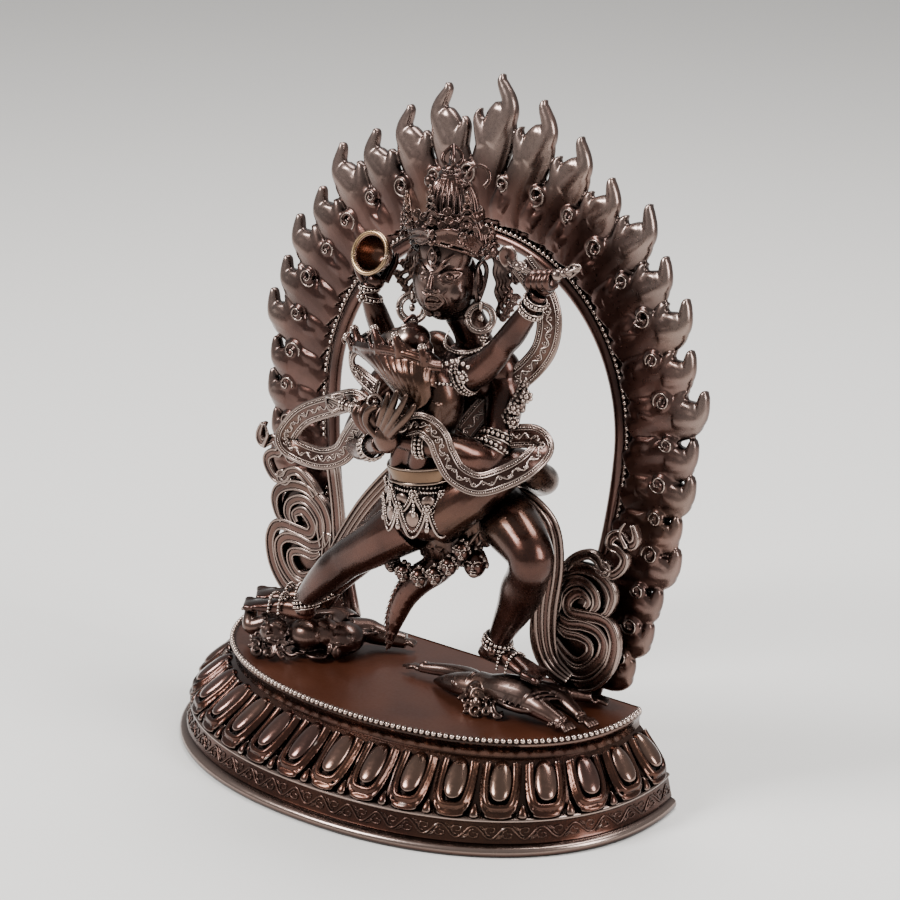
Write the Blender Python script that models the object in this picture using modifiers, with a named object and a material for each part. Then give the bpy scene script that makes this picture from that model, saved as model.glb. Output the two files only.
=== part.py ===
"""Chakrasamvara statue in oxidised copper: a lotus base, a flame aureole that stands on its back edge,
the deity and his consort cast as one figure, the skull cup in her hand, and the two small figures that
they tread on.

The origin is on the underside of the base, +Z is up, the figures' front is -Y, and lengths are in metres.
"""

from math import copysign, cos, pi, radians, sin, sqrt, tan

import bmesh
import bpy
from mathutils import Matrix, Vector

# Lotus base: seen from above, a half ellipse with a straight back
FOOT_HALF_WIDTH = 0.0896
FOOT_FRONT = 0.0633
FOOT_WIDEST_Y = 0.0025
TOP_HALF_WIDTH = 0.0759
TOP_FRONT = 0.0434
TOP_WIDEST_Y = 0.0061
BACK_Y = 0.0190
OUTLINE_POWER = 2.14
FOOT_RIM_HEIGHT = 0.0030
BAND_HEIGHT = 0.0080
PETAL_HEIGHT = 0.0135
NECK_HEIGHT = 0.0035
TOP_RIM_HEIGHT = 0.0025
PETAL_COUNT = 18
PETAL_SWELL = 0.0022

# Aureole: a round arch on two legs that draw in towards the base
AUREOLE_HEIGHT = 0.1895
FLAME_SPREAD = 0.0276
ARCH_CENTRE_HEIGHT = 0.0795
LEG_DRAW_IN = 0.0155
LEG_POWER = 1.85
AUREOLE_LEAN = radians(6.3)
PLATE_THICKNESS = 0.0034
PLATE_INSET = 0.0002
BAND_INNER = 0.0045
BAND_OUTER = 0.0110
TUBE_RADIUS = 0.0022
TUBE_FORWARD = 0.0006
BEAD_RADIUS = 0.0010
FLAME_PAIRS = 15
FLAME_ROOT = 0.002
FLAME_SIDEWAYS_SHARE = 0.656
FOOT_FLAME_LENGTH = 0.0270
FLAME_HALF_WIDTH = 0.0066
FLAME_ROOT_HALF_THICKNESS = 0.0021
FLAME_TIP_HALF_THICKNESS = 0.0009
INNER_FLAME_ROOT = 0.0030
INNER_FLAME_LENGTH = 0.0125
INNER_FLAME_HALF_WIDTH = 0.0041
INNER_FLAME_FORWARD = 0.0012

# Figures
FIGURE_HEIGHT = 0.1630
TRAMPLED_HEIGHT = 0.0119
CUP_RADIUS = 0.0064
CUP_DEPTH = 0.0082
CUP_WALL = 0.0012
GAP = 0.0003

# Surface of the fused pieces
FIGURE_VOXEL = 0.00075
AUREOLE_VOXEL = 0.0009
FIGURE_TRIANGLES = 4600
AUREOLE_TRIANGLES = 2600
TRAMPLED_TRIANGLES = 260

BASE_HEIGHT = FOOT_RIM_HEIGHT + BAND_HEIGHT + PETAL_HEIGHT + NECK_HEIGHT + TOP_RIM_HEIGHT
SOLE_HEIGHT = BASE_HEIGHT + GAP + TRAMPLED_HEIGHT + GAP

# The side flames end over the edge of the base's foot, so the arch stands in from it by their spread
ARCH_HALF_WIDTH = FOOT_HALF_WIDTH - FLAME_SPREAD
SIDE_FLAME_LENGTH = (FLAME_SPREAD - FLAME_ROOT) / FLAME_SIDEWAYS_SHARE

# Points of the figures are in 163rds of the figure's height, x and y from the origin, heights from the soles
FIGURE_UNIT = FIGURE_HEIGHT / 163


def blend(a, b, share):
    return a + (b - a) * share


def smooth(points, steps=4):
    """A smooth curve through the points, which blends every value that they hold."""
    curve = []
    for i in range(len(points) - 1):
        before, start = points[max(i - 1, 0)], points[i]
        end, after = points[i + 1], points[min(i + 2, len(points) - 1)]
        for step in range(steps):
            t = step / steps
            curve.append(tuple(
                0.5 * (2 * b + (c - a) * t + (2 * a - 5 * b + 4 * c - d) * t**2 + (3 * b - a - 3 * c + d) * t**3)
                for a, b, c, d in zip(before, start, end, after)
            ))
    curve.append(tuple(points[-1]))
    return curve


def loft(bm, rings):
    """A closed skin through rings of points, with both ends filled."""
    rows = [[bm.verts.new(point) for point in ring] for ring in rings]
    count = len(rows[0])
    for low, high in zip(rows, rows[1:]):
        for i in range(count):
            j = (i + 1) % count
            bm.faces.new((low[i], low[j], high[j], high[i]))
    bm.faces.new(rows[0][::-1])
    bm.faces.new(rows[-1])


def sweep(bm, points, facing, sides=8):
    """A flattened tube. Each point is x, y, z, half width and half thickness; its flat side looks along facing."""
    rings = []
    for i, point in enumerate(points):
        ahead, behind = points[min(i + 1, len(points) - 1)], points[max(i - 1, 0)]
        along = (Vector(ahead[:3]) - Vector(behind[:3])).normalized()
        across = along.cross(Vector(facing)).normalized()
        out = across.cross(along)
        centre = Vector(point[:3])
        turns = [2 * pi * k / sides for k in range(sides)]
        rings.append([centre + across * point[3] * cos(a) + out * point[4] * sin(a) for a in turns])
    loft(bm, rings)


def limb(bm, points, steps=4):
    """A round tapering tube through points of x, y, z and radius."""
    curve = bpy.data.curves.new("limb", "CURVE")
    curve.dimensions = "3D"
    curve.bevel_depth = 1.0
    curve.bevel_resolution = 3
    curve.use_fill_caps = True
    route = smooth(points, steps)
    spline = curve.splines.new("POLY")
    spline.points.add(len(route) - 1)
    for knot, (x, y, z, radius) in zip(spline.points, route):
        knot.co = (x, y, z, 1)
        knot.radius = radius
    guide = bpy.data.objects.new("limb", curve)
    bpy.context.scene.collection.objects.link(guide)
    evaluated = guide.evaluated_get(bpy.context.evaluated_depsgraph_get())
    mesh = bpy.data.meshes.new_from_object(evaluated)
    bm.from_mesh(mesh)
    bpy.data.objects.remove(guide)
    bpy.data.meshes.remove(mesh)


def ball(bm, centre, radii, turn=(0, 0, 0)):
    """An ellipsoid, turned about X, Y and Z by degrees."""
    matrix = Matrix.Translation(centre)
    for axis, angle in zip("ZYX", turn[::-1]):
        matrix = matrix @ Matrix.Rotation(radians(angle), 4, axis)
    bmesh.ops.create_uvsphere(bm, u_segments=20, v_segments=12, radius=1, matrix=matrix @ Matrix.Diagonal((*radii, 1)))


def material(name, colour, roughness):
    finish = bpy.data.materials.new(name)
    finish.use_nodes = True
    shader = finish.node_tree.nodes["Principled BSDF"]
    shader.inputs["Base Color"].default_value = (*colour, 1)
    shader.inputs["Metallic"].default_value = 1.0
    shader.inputs["Roughness"].default_value = roughness
    return finish


def add_piece(name, bm, finish):
    """Puts the mesh in the statue's collection as a named piece."""
    bmesh.ops.recalc_face_normals(bm, faces=bm.faces)
    mesh = bpy.data.meshes.new(name)
    bm.to_mesh(mesh)
    bm.free()
    mesh.materials.append(finish)
    piece = bpy.data.objects.new(name, mesh)
    statue.objects.link(piece)
    return piece


def bake(piece):
    """Replaces the piece's mesh by the one that its modifiers make."""
    evaluated = piece.evaluated_get(bpy.context.evaluated_depsgraph_get())
    mesh = bpy.data.meshes.new_from_object(evaluated)
    old = piece.data
    piece.modifiers.clear()
    piece.data = mesh
    bpy.data.meshes.remove(old)


def fuse(piece, voxel, triangles):
    """Melts overlapping forms into one skin, then thins it to about the given number of triangles."""
    remesh = piece.modifiers.new("melt", "REMESH")
    remesh.mode = "VOXEL"
    remesh.voxel_size = voxel
    relax = piece.modifiers.new("relax", "SMOOTH")
    relax.factor = 0.5
    relax.iterations = 1
    bake(piece)
    thin = piece.modifiers.new("thin", "DECIMATE")
    thin.ratio = triangles / (2 * len(piece.data.polygons))
    thin.use_collapse_triangulate = True
    bake(piece)
    part_pinches(piece)
    drop_crumbs(piece)


def drop_crumbs(piece):
    """Removes the folded slivers of a few points that thinning can leave loose beside the skin."""
    bm = bmesh.new()
    bm.from_mesh(piece.data)
    left = set(bm.verts)
    while left:
        island, edge_of_search = set(), [left.pop()]
        while edge_of_search:
            vert = edge_of_search.pop()
            island.add(vert)
            near = {edge.other_vert(vert) for edge in vert.link_edges} & left
            left -= near
            edge_of_search.extend(near)
        if len(island) < 8:
            bmesh.ops.delete(bm, geom=list(island), context="VERTS")
    bm.to_mesh(piece.data)
    bm.free()


def part_pinches(piece):
    """Opens each edge where thinning has drawn two walls together, and closes both walls again."""
    bm = bmesh.new()
    bm.from_mesh(piece.data)
    for _ in range(4):
        pinched = {vert for edge in bm.edges if len(edge.link_faces) > 2 for vert in edge.verts}
        if not pinched:
            break
        bmesh.ops.delete(bm, geom=list(pinched), context="VERTS")
        filled = bmesh.ops.holes_fill(bm, edges=[edge for edge in bm.edges if edge.is_boundary])
        bmesh.ops.triangulate(bm, faces=filled["faces"])
    bmesh.ops.recalc_face_normals(bm, faces=bm.faces)
    bm.to_mesh(piece.data)
    bm.free()


def trim(piece, height, keep_above):
    """Cuts the piece off level at a height and fills the cut."""
    bm = bmesh.new()
    bm.from_mesh(piece.data)
    bmesh.ops.bisect_plane(
        bm, geom=bm.verts[:] + bm.edges[:] + bm.faces[:], dist=1e-6, plane_co=(0, 0, height), plane_no=(0, 0, 1),
        clear_inner=keep_above, clear_outer=not keep_above,
    )
    bmesh.ops.holes_fill(bm, edges=[edge for edge in bm.edges if edge.is_boundary])
    bmesh.ops.triangulate(bm, faces=[face for face in bm.faces if len(face.verts) > 3])
    bm.to_mesh(piece.data)
    bm.free()


def subtract(piece, cutter):
    """Takes the cutter's form out of the piece."""
    cut = piece.modifiers.new("seat", "BOOLEAN")
    cut.operation = "DIFFERENCE"
    cut.solver = "EXACT"
    cut.object = cutter


# Lotus base


def base_outline(flare, swell):
    """The outline from the back right corner round the front; flare is 0 at the top's size and 1 at the foot's."""
    per_petal = 4
    count = PETAL_COUNT * per_petal
    fine = 1200
    route = []
    front = blend(TOP_FRONT, FOOT_FRONT, flare)
    half_width = blend(TOP_HALF_WIDTH, FOOT_HALF_WIDTH, flare)
    widest = blend(TOP_WIDEST_Y, FOOT_WIDEST_Y, flare)
    depth = front + widest
    for i in range(fine + 1):
        turn = blend(0, pi, i / fine)
        x = half_width * copysign(abs(cos(turn)) ** (2 / OUTLINE_POWER), cos(turn))
        route.append(Vector((x, widest - depth * sin(turn) ** (2 / OUTLINE_POWER))))
    corner = half_width * (1 - ((BACK_Y - widest) / depth) ** OUTLINE_POWER) ** (1 / OUTLINE_POWER)
    route = [Vector((corner, BACK_Y))] + route + [Vector((-corner, BACK_Y))]
    lengths = [0.0]
    for a, b in zip(route, route[1:]):
        lengths.append(lengths[-1] + (b - a).length)
    points, at = [], 0
    for i in range(count + 1):
        target = lengths[-1] * i / count
        while at < len(route) - 2 and lengths[at + 1] < target:
            at += 1
        share = (target - lengths[at]) / max(lengths[at + 1] - lengths[at], 1e-9)
        points.append(route[at].lerp(route[at + 1], share))
    ring = []
    for i, point in enumerate(points):
        ahead, behind = points[min(i + 1, count)], points[max(i - 1, 0)]
        outward = Vector((-(ahead - behind).y, (ahead - behind).x)).normalized() * -1
        lobe = sqrt(1 - (2 * (i % per_petal) / per_petal - 1) ** 2)
        place = point + outward * swell * (lobe - 1)
        ring.append((place.x, min(place.y, BACK_Y)))
    return ring


def make_base():
    band_top = FOOT_RIM_HEIGHT + BAND_HEIGHT
    neck = band_top + PETAL_HEIGHT
    rim = neck + NECK_HEIGHT
    levels = [
        (0.0, 1.0, 0.0),
        (0.8 * FOOT_RIM_HEIGHT, 1.0, 0.0),
        (FOOT_RIM_HEIGHT, 0.90, 0.0),
        (band_top, 0.74, 0.0),
        (band_top + 0.12 * PETAL_HEIGHT, 0.78, 1.0),
        (band_top + 0.45 * PETAL_HEIGHT, 0.62, 1.0),
        (band_top + 0.75 * PETAL_HEIGHT, 0.32, 0.8),
        (neck - 0.02 * PETAL_HEIGHT, 0.03, 0.3),
        (neck, -0.05, 0.0),
        (rim, -0.05, 0.0),
        (rim + 0.4 * TOP_RIM_HEIGHT, 0.0, 0.0),
        (BASE_HEIGHT, 0.0, 0.0),
    ]
    bm = bmesh.new()
    loft(bm, [[(x, y, z) for x, y in base_outline(flare, share * PETAL_SWELL)] for z, flare, share in levels])
    bmesh.ops.triangulate(bm, faces=bm.faces)
    return add_piece("lotus_base", bm, material("oxidised copper, polished rims", (0.20, 0.07, 0.045), 0.30))


# Aureole


def on_plate(x, height, forward=0.0):
    """A point by its place on the leaning plate; forward is towards the figures."""
    middle = BACK_Y - PLATE_INSET - PLATE_THICKNESS / 2
    return (x, middle + height * tan(AUREOLE_LEAN) - forward, BASE_HEIGHT + height)


def arch(along):
    """The point and the outward direction at a distance along the bead line from its crown, positive to +X."""
    quarter = ARCH_HALF_WIDTH * pi / 2
    side = copysign(1, along)
    if abs(along) <= quarter:
        turn = along / ARCH_HALF_WIDTH
        outward = Vector((sin(turn), cos(turn)))
        return Vector((0, ARCH_CENTRE_HEIGHT)) + outward * ARCH_HALF_WIDTH, outward
    down = (abs(along) - quarter) / ARCH_CENTRE_HEIGHT
    point = Vector((side * (ARCH_HALF_WIDTH - LEG_DRAW_IN * down**LEG_POWER), ARCH_CENTRE_HEIGHT * (1 - down)))
    slope = LEG_DRAW_IN * LEG_POWER * down ** (LEG_POWER - 1)
    return point, Vector((side * ARCH_CENTRE_HEIGHT, -slope)).normalized()


def arch_ring(bm, offset, half_width, half_thickness, forward):
    """A bar that follows the arch at an offset from the bead line, down past the base's top."""
    reach = ARCH_HALF_WIDTH * pi / 2 + ARCH_CENTRE_HEIGHT * 1.03
    steps = 72
    points = []
    for i in range(steps + 1):
        point, outward = arch(blend(-reach, reach, i / steps))
        place = point + outward * offset
        points.append((*on_plate(place.x, place.y, forward), half_width, half_thickness))
    sweep(bm, points, (0, -1, 0))


def flame(bm, root, direction, length, half_width, forward=0.0):
    """A tongue that rises from its root, bends upwards and ends in a point, with a small hook below the tip."""
    up = Vector((0, 1))
    side = Vector((direction.y, -direction.x)) * copysign(1, direction.x + 1e-6)
    profile = ((0, 0.85), (0.2, 1.0), (0.42, 1.06), (0.57, 0.80), (0.68, 0.44), (0.84, 0.28), (1, 0.06))
    spine = []
    for share, width in profile:
        place = root + direction * length * share + (up - direction) * length * 0.22 * share**3
        place -= side * length * 0.05 * sin(2 * pi * share)
        thickness = blend(FLAME_ROOT_HALF_THICKNESS, FLAME_TIP_HALF_THICKNESS, share)
        spine.append((*on_plate(place.x, place.y, forward), half_width * width, thickness))
    sweep(bm, spine, (0, -1, 0))
    hook = []
    for share, out, width in ((0.40, 0.5, 0.5), (0.58, 0.85, 0.32), (0.74, 1.0, 0.10)):
        place = root + direction * length * share + side * half_width * out
        hook.append((*on_plate(place.x, place.y, forward), half_width * width, FLAME_TIP_HALF_THICKNESS))
    sweep(bm, hook, (0, -1, 0))


def make_aureole():
    bm = bmesh.new()
    middle = (BAND_OUTER - BAND_INNER) / 2
    arch_ring(bm, middle, (BAND_OUTER + BAND_INNER) / 2, PLATE_THICKNESS / 2, 0)
    arch_ring(bm, BEAD_RADIUS - BAND_INNER + TUBE_FORWARD, TUBE_RADIUS, TUBE_RADIUS, TUBE_FORWARD)
    arch_ring(bm, 0, BEAD_RADIUS, BEAD_RADIUS, PLATE_THICKNESS / 2)
    reach = ARCH_HALF_WIDTH * pi / 2 + ARCH_CENTRE_HEIGHT * 0.90
    for i in range(-FLAME_PAIRS, FLAME_PAIRS + 1):
        place, outward = arch(reach * i / FLAME_PAIRS)
        lift = 0.42 * (1 - outward.y)
        direction = (outward + Vector((0, lift))).normalized()
        length = blend(SIDE_FLAME_LENGTH, FOOT_FLAME_LENGTH, abs(i) / FLAME_PAIRS) * (1.06 if i % 2 else 0.97)
        rise = AUREOLE_HEIGHT - ARCH_CENTRE_HEIGHT - ARCH_HALF_WIDTH - FLAME_ROOT
        if i == 0:
            length = rise
        elif abs(i) == 1:
            length = blend(SIDE_FLAME_LENGTH, rise, 0.45)
        flame(bm, place + outward * FLAME_ROOT, direction, length, FLAME_HALF_WIDTH)
        if i < FLAME_PAIRS:
            inner, outward = arch(reach * (i + 0.5) / FLAME_PAIRS)
            direction = (outward + Vector((0, 0.5))).normalized()
            root = inner + outward * INNER_FLAME_ROOT
            flame(bm, root, direction, INNER_FLAME_LENGTH, INNER_FLAME_HALF_WIDTH, INNER_FLAME_FORWARD)
    aureole = add_piece("aureole", bm, material("oxidised copper, polished flame tips", (0.21, 0.08, 0.055), 0.33))
    fuse(aureole, AUREOLE_VOXEL, AUREOLE_TRIANGLES)
    trim(aureole, BASE_HEIGHT + GAP, keep_above=True)
    return aureole


# Figures


def scaled(points):
    """Points of the figure in metres; every value is a length in figure units."""
    lifted = []
    for point in points:
        x, y, height, *sizes = (value * FIGURE_UNIT for value in point)
        lifted.append((x, y, SOLE_HEIGHT + height, *sizes))
    return lifted


def body_limb(bm, *points):
    limb(bm, scaled(points))


def body_ball(bm, centre, radii, turn=(0, 0, 0)):
    ball(bm, scaled([centre])[0], [radius * FIGURE_UNIT for radius in radii], turn)


def ribbon(bm, facing, half_width, half_thickness, *points):
    sweep(bm, scaled([(*point, half_width, half_thickness) for point in smooth(points, 3)]), facing)


def foot(bm, heel, toe, half_width):
    """A flat-soled foot with its toes side by side; heel and toe are points of the sole."""
    heel, toe = Vector(heel), Vector(toe)
    across = Vector((heel.y - toe.y, toe.x - heel.x, 0)).normalized()
    route = []
    for share, wide, thick in ((-0.04, 0.5, 1.6), (0.05, 0.78, 2.9), (0.35, 0.82, 3.2), (0.6, 1.0, 2.2), (0.84, 0.95, 1.4)):
        middle = heel.lerp(toe, share)
        route.append((middle.x, middle.y, middle.z + thick, half_width * wide, thick))
    sweep(bm, scaled(smooth(route, 2)), (0, 0, 1))
    for k in range(5):
        offset = across * half_width * (k - 2) / 2.5
        start = heel.lerp(toe, 0.72) + offset + Vector((0, 0, 1.5))
        tip = heel.lerp(toe, 1.0 - 0.03 * abs(k - 1)) + offset * 1.1 + Vector((0, 0, 1.1))
        body_limb(bm, (*start, 1.4), (*start.lerp(tip, 0.6), 1.2), (*tip, 0.9))


def make_him(bm):
    body_ball(bm, (17, 1, 53), (12.5, 10, 9.5))
    body_limb(bm, (17, 1, 52, 10.5), (18, 2, 61, 9.6), (19, 2, 69, 8.8), (20, 2, 75, 9.6), (21, 1, 86, 11.5),
              (21.5, 0, 96, 10), (22, 0, 101, 6.5))
    body_ball(bm, (20, 1, 90), (14.5, 9, 9))
    body_limb(bm, (22, 0, 99, 6), (21, -2, 106, 5.3), (19, -4, 112, 5.6))
    # head, with chin, nose and brows
    body_ball(bm, (18, -6, 123.5), (10.4, 10.4, 12.2))
    body_ball(bm, (15, -12.5, 115.5), (5.4, 4.2, 4.6))
    body_limb(bm, (19, -16.2, 128, 0.9), (17, -17.6, 123, 1.7), (16.4, -17.2, 121.4, 1.9))
    # crown band, its five tall leaves, and the dressed hair that rises to a jewel
    for k in range(24):
        turn = 2 * pi * k / 24
        body_ball(bm, (17 + 11 * cos(turn), -5.5 + 11 * sin(turn), 132 + 2.2 * cos(turn)), (1.9, 1.9, 2.0))
    for angle in (-20, -62, -104, -146, -188):
        x, y = 17 + 11.6 * cos(radians(angle)), -5.5 + 11.6 * sin(radians(angle))
        body_limb(bm, (x, y, 132, 3.4), (x, y, 137, 2.4), (x * 1.02, y, 144, 0.8))
    body_limb(bm, (17, -4, 131, 9.5), (17.5, -3.5, 139, 8.0), (17.6, -3.5, 146, 7.6), (17, -2.5, 152, 5.6),
              (15, -1, 156, 3.6), (14, -0.5, 160, 3.2), (13, 0, 163, 0.7))
    # ears with round rings, and the curls that fall beside them
    body_ball(bm, (27.5, -4, 121), (1.8, 3, 5.5))
    body_ball(bm, (28.5, -6.5, 114.5), (3.2, 4.6, 4.8), (0, 0, -30))
    body_ball(bm, (6, -9, 114.5), (3.0, 4.0, 4.5), (0, 0, 30))
    body_limb(bm, (30, -2, 130, 2.4), (33, -1, 122, 2.6), (34, -1, 115, 3.0), (38, -2, 111, 1.8))
    body_limb(bm, (3, -6, 128, 2.2), (-2, -6, 121, 2.6), (-8, -6, 116, 2.6), (-12, -6, 119, 1.6))
    # his left arm reaches round her, his right arm crosses in front
    body_limb(bm, (29, 0, 95, 6.8), (34, -2, 89, 6.2), (37, -8, 79, 5.4), (37, -14, 71.4, 4.9), (33, -23, 75, 4.5),
              (28, -30, 78, 4.0), (18, -33, 78, 3.3), (10, -34, 80, 3.6), (2, -33, 83, 3.2))
    body_limb(bm, (8, 0, 97, 6.6), (1, -1, 92, 6.2), (-8, -4, 87, 5.8), (-13, -8, 79, 5.4), (-12.5, -16, 69, 4.6),
              (-4, -25, 69.5, 4.2), (6, -32, 73, 3.4), (14, -36.5, 77, 3.4), (20, -38, 80, 3.7))
    for tip in ((27, -38, 94), (24, -39, 96), (20.5, -38.5, 94), (16, -37, 92)):
        body_limb(bm, (20, -38, 82, 1.8), (*(Vector((20, -38, 80)).lerp(Vector(tip), 0.6)), 1.5), (*tip, 1.0))
    body_limb(bm, (-8, -34, 86, 2.6), (0, -34, 85, 3.8), (8, -34, 85, 2.4), (13, -34, 84, 3.2))
    # his left leg is bent, his right leg is straight
    body_limb(bm, (24, 0, 52, 9.4), (42, -8, 49, 9.2), (55, -14, 43.5, 7.4), (50, -11, 33, 6.8), (43, -8, 22, 5.6),
              (37, -6, 11, 4.2), (33, -5, 4, 4.0))
    foot(bm, (29, -4.2, 0), (56, -7.5, 0), 4.2)
    body_limb(bm, (8, 2, 51, 9.4), (-6, -1, 41, 8.4), (-15, -3, 31, 7.0), (-25, -6, 20, 5.6), (-33, -8, 9.5, 4.2),
              (-35, -8, 5, 3.6))
    foot(bm, (-34, -7.5, 1.2), (-61, -14.5, 1.6), 4.0)


def make_her(bm):
    body_ball(bm, (18.5, -21, 52), (10.8, 8.6, 9.5))
    body_limb(bm, (18, -20, 49, 9.5), (18, -21, 56, 9.2), (16.5, -22, 65, 7.4), (17.5, -22, 70, 7.2), (21, -22, 81, 8.5),
              (24, -21.5, 90, 8.2), (23, -22.5, 96.5, 5.6), (17, -22.5, 101, 5.0))
    body_ball(bm, (9.6, -22, 103), (9.4, 9.0, 8.8))
    body_ball(bm, (11, -18, 110), (5.4, 4.6, 3.2), (20, -20, 0))
    # hair that fans over her back, and the crown's leaves
    body_limb(bm, (14, -28, 101, 6.0), (24, -30, 95, 6.4), (28, -30, 86, 3.2))
    for x, y, z in ((-7, -25, 103), (-4.5, -27, 107.5), (-1, -30, 99), (4, -32.5, 96), (11, -34.5, 94)):
        base = Vector((9.6, -22, 103)).lerp(Vector((x, y, z)), 0.55)
        body_limb(bm, (*base, 2.8), (*base.lerp(Vector((x, y, z)), 0.55), 2.0), (x, y, z, 0.8))
    # her right arm lifts the flaying knife, her left arm the skull cup
    body_limb(bm, (25, -19, 94, 5.6), (30, -17, 96.5, 5.0), (36, -16, 100, 4.5), (42, -15, 106, 4.0), (49, -15, 115, 3.5),
              (55, -15, 123.4, 2.9), (58, -15, 128, 3.4))
    body_ball(bm, (58.5, -15, 131), (5.2, 4.0, 4.6))
    body_limb(bm, (45.5, -12, 133, 1.8), (53, -14, 132.5, 3.0), (61, -15, 132.5, 3.0), (72, -16.5, 137, 1.5))
    body_limb(bm, (17, -19, 95.5, 5.2), (8, -16, 95.5, 4.8), (-3.5, -11, 98, 4.3), (-7, -12, 107, 3.5), (-9.5, -14, 115, 2.7),
              (-8.5, -12.5, 119, 3.2), (-6, -9, 122, 3.8), (-3.5, -6.5, 127, 2.8))
    # her left leg beside his, her right leg round his hip
    body_limb(bm, (12, -20, 46, 8.8), (0, -22, 37.5, 7.4), (-9.5, -22, 31.5, 6.6), (-21, -22, 22, 5.4), (-31.5, -21, 11, 3.9),
              (-32, -20.5, 5.5, 3.4))
    foot(bm, (-31, -20, 1.8), (-57.5, -24, 1.8), 3.4)
    body_limb(bm, (22, -20, 50, 9.0), (34, -17, 60, 7.8), (43, -7, 69.5, 6.4), (44.5, 4, 63, 5.0), (38, 11, 56, 4.0),
              (29, 13, 53, 3.2))


def make_dress(bm):
    """Scarves, belts, apron, hide, garland of heads and the two scarf ends that curl down to the base."""
    to_viewer = (0.5, -0.8, 0.3)
    ribbon(bm, to_viewer, 2.8, 1.1, (2, -31, 85), (-15, -26, 80), (-28, -24, 74), (-35, -23, 67), (-31, -23, 62),
           (-21, -24, 61), (-12, -25, 65), (-6, -27, 72), (0, -30, 78))
    ribbon(bm, to_viewer, 3.2, 1.2, (38, 1, 130), (45, 2, 121), (47.5, 2, 113), (46.5, 1, 105), (42, 0, 97.5),
           (36, -3, 91), (31, -8, 84), (28, -14, 77))
    ribbon(bm, to_viewer, 2.9, 1.1, (33, -33, 84), (35, -33, 77), (39, -32, 71.5), (47, -30, 69.5), (54, -26, 72.5),
           (58, -20, 76), (57.5, -13, 79), (51, -9, 80), (42, -9, 78))
    ribbon(bm, (1, -0.3, 0), 3.6, 1.4, (38, 1, 54), (45, 2, 51), (50, 3, 44), (51.5, 4, 33), (49, 5, 18), (49.5, 6, 6),
           (52, 7, -2), (58, 8, -7))
    ribbon(bm, (0, -1, 0), 2.6, 1.4, (14, 4, 68), (-3, 6, 60), (-15, 6, 50), (-28, 6, 35), (-40, 7, 20), (-52, 8, 14))
    for side, lean in ((1, 0.0), (-1, 2.0)):
        for centre_x, centre_height, outer, turns in ((57.0, 22.0, 10.2, 2.1), (61.5, 4.5, 8.8, 1.8)):
            spiral = []
            for i in range(40):
                share = i / 39
                turn = side * (pi / 2 + 2 * pi * turns * share)
                radius = blend(outer, 1.5, share)
                x = side * centre_x + lean + 1.15 * radius * cos(turn)
                spiral.append((x, 8 - 1.5 * share, centre_height + 0.95 * radius * sin(turn), 1.7))
            limb(bm, scaled(spiral), 1)
            body_ball(bm, (side * centre_x + lean, 9, centre_height), (outer, 1.8, outer * 0.85))
        body_limb(bm, (side * 60 + lean, 9, 27, 2.2), (side * 67 + lean, 9, 36, 1.8), (side * 63 + lean, 9, 41, 1.6),
                  (side * 68 + lean, 9, 44, 1.4), (side * 71 + lean, 9, 50, 0.8))
    # belt and the apron's swags
    for tier, (height, reach, drop) in enumerate(((58, 11.5, 7), (52, 12.5, 9))):
        for k in range(4):
            start, end = radians(-175 + 44 * k), radians(-175 + 44 * (k + 1))
            swag = []
            for i in range(7):
                turn = blend(start, end, i / 6)
                sag = drop * sin(pi * i / 6)
                swag.append((17 + reach * cos(turn), -19 + (reach - 1.5) * sin(turn), height + 2 - sag, 1.0))
            body_limb(bm, *swag)
    waist = [(16.5 + 8.6 * cos(2 * pi * k / 16), -22 + 8.4 * sin(2 * pi * k / 16), 64.5 + 0.1 * k, 1.3) for k in range(17)]
    body_limb(bm, *waist)
    # hide between the legs, ending in a tail
    ribbon(bm, (0.3, -1, 0.1), 7.0, 1.2, (22, -9, 47), (22, -11, 38), (21, -12, 30))
    body_limb(bm, (22, -12, 36, 4.5), (18, -14, 30, 4.2), (12.5, -16, 26, 3.6), (7, -17.5, 20, 2.8), (4, -18.5, 11, 2.0),
              (2.5, -19, 2, 0.8))
    chain = [(-5, -15, 34), (4, -17, 32), (12.5, -19, 30.5), (19.5, -19.5, 31), (27, -19.5, 35.5), (32, -18, 42), (35, -14, 50)]
    body_limb(bm, *[(x, y, z, 1.8) for x, y, z in chain])
    for x, y, z in chain[:-1]:
        body_ball(bm, (x, y, z), (3.0, 3.0, 3.4))
    body_ball(bm, (33.5, -13, 36.5), (3.6, 3.6, 4.2))
    body_limb(bm, (33, -13, 38, 1.6), (33, -11, 50, 1.8))
    body_limb(bm, (40, -7, 84, 3.0), (45, -6, 88, 3.6), (44, -6, 92, 2.6))


def cup_frame():
    """The skull cup's mouth centre and its turn, its mouth forwards and a little up."""
    mouth = Vector(scaled([(-6.5, -17.0, 129.0)])[0])
    opening = Vector((0.02, -0.92, 0.38)).normalized()
    return Matrix.Translation(mouth) @ Vector((0, 0, 1)).rotation_difference(opening).to_matrix().to_4x4()


def make_cup():
    """A bowl turned about its axis: down the outer side, round the bottom and up inside."""
    bm = bmesh.new()
    outer = [(CUP_RADIUS * cos(a), -CUP_DEPTH * sin(a)) for a in (radians(18 * k) for k in range(6))]
    inner_radius, inner_depth = CUP_RADIUS - CUP_WALL, CUP_DEPTH - CUP_WALL
    inner = [(inner_radius * cos(a), -inner_depth * sin(a)) for a in (radians(18 * k) for k in range(5, -1, -1))]
    outer_wall, inner_wall = ([bm.verts.new((x, 0, z)) for x, z in wall] for wall in (outer, inner))
    for wall in (outer_wall, inner_wall):
        for a, b in zip(wall, wall[1:]):
            bm.edges.new((a, b))
    bm.edges.new((inner_wall[-1], outer_wall[0]))
    return bm


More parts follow.
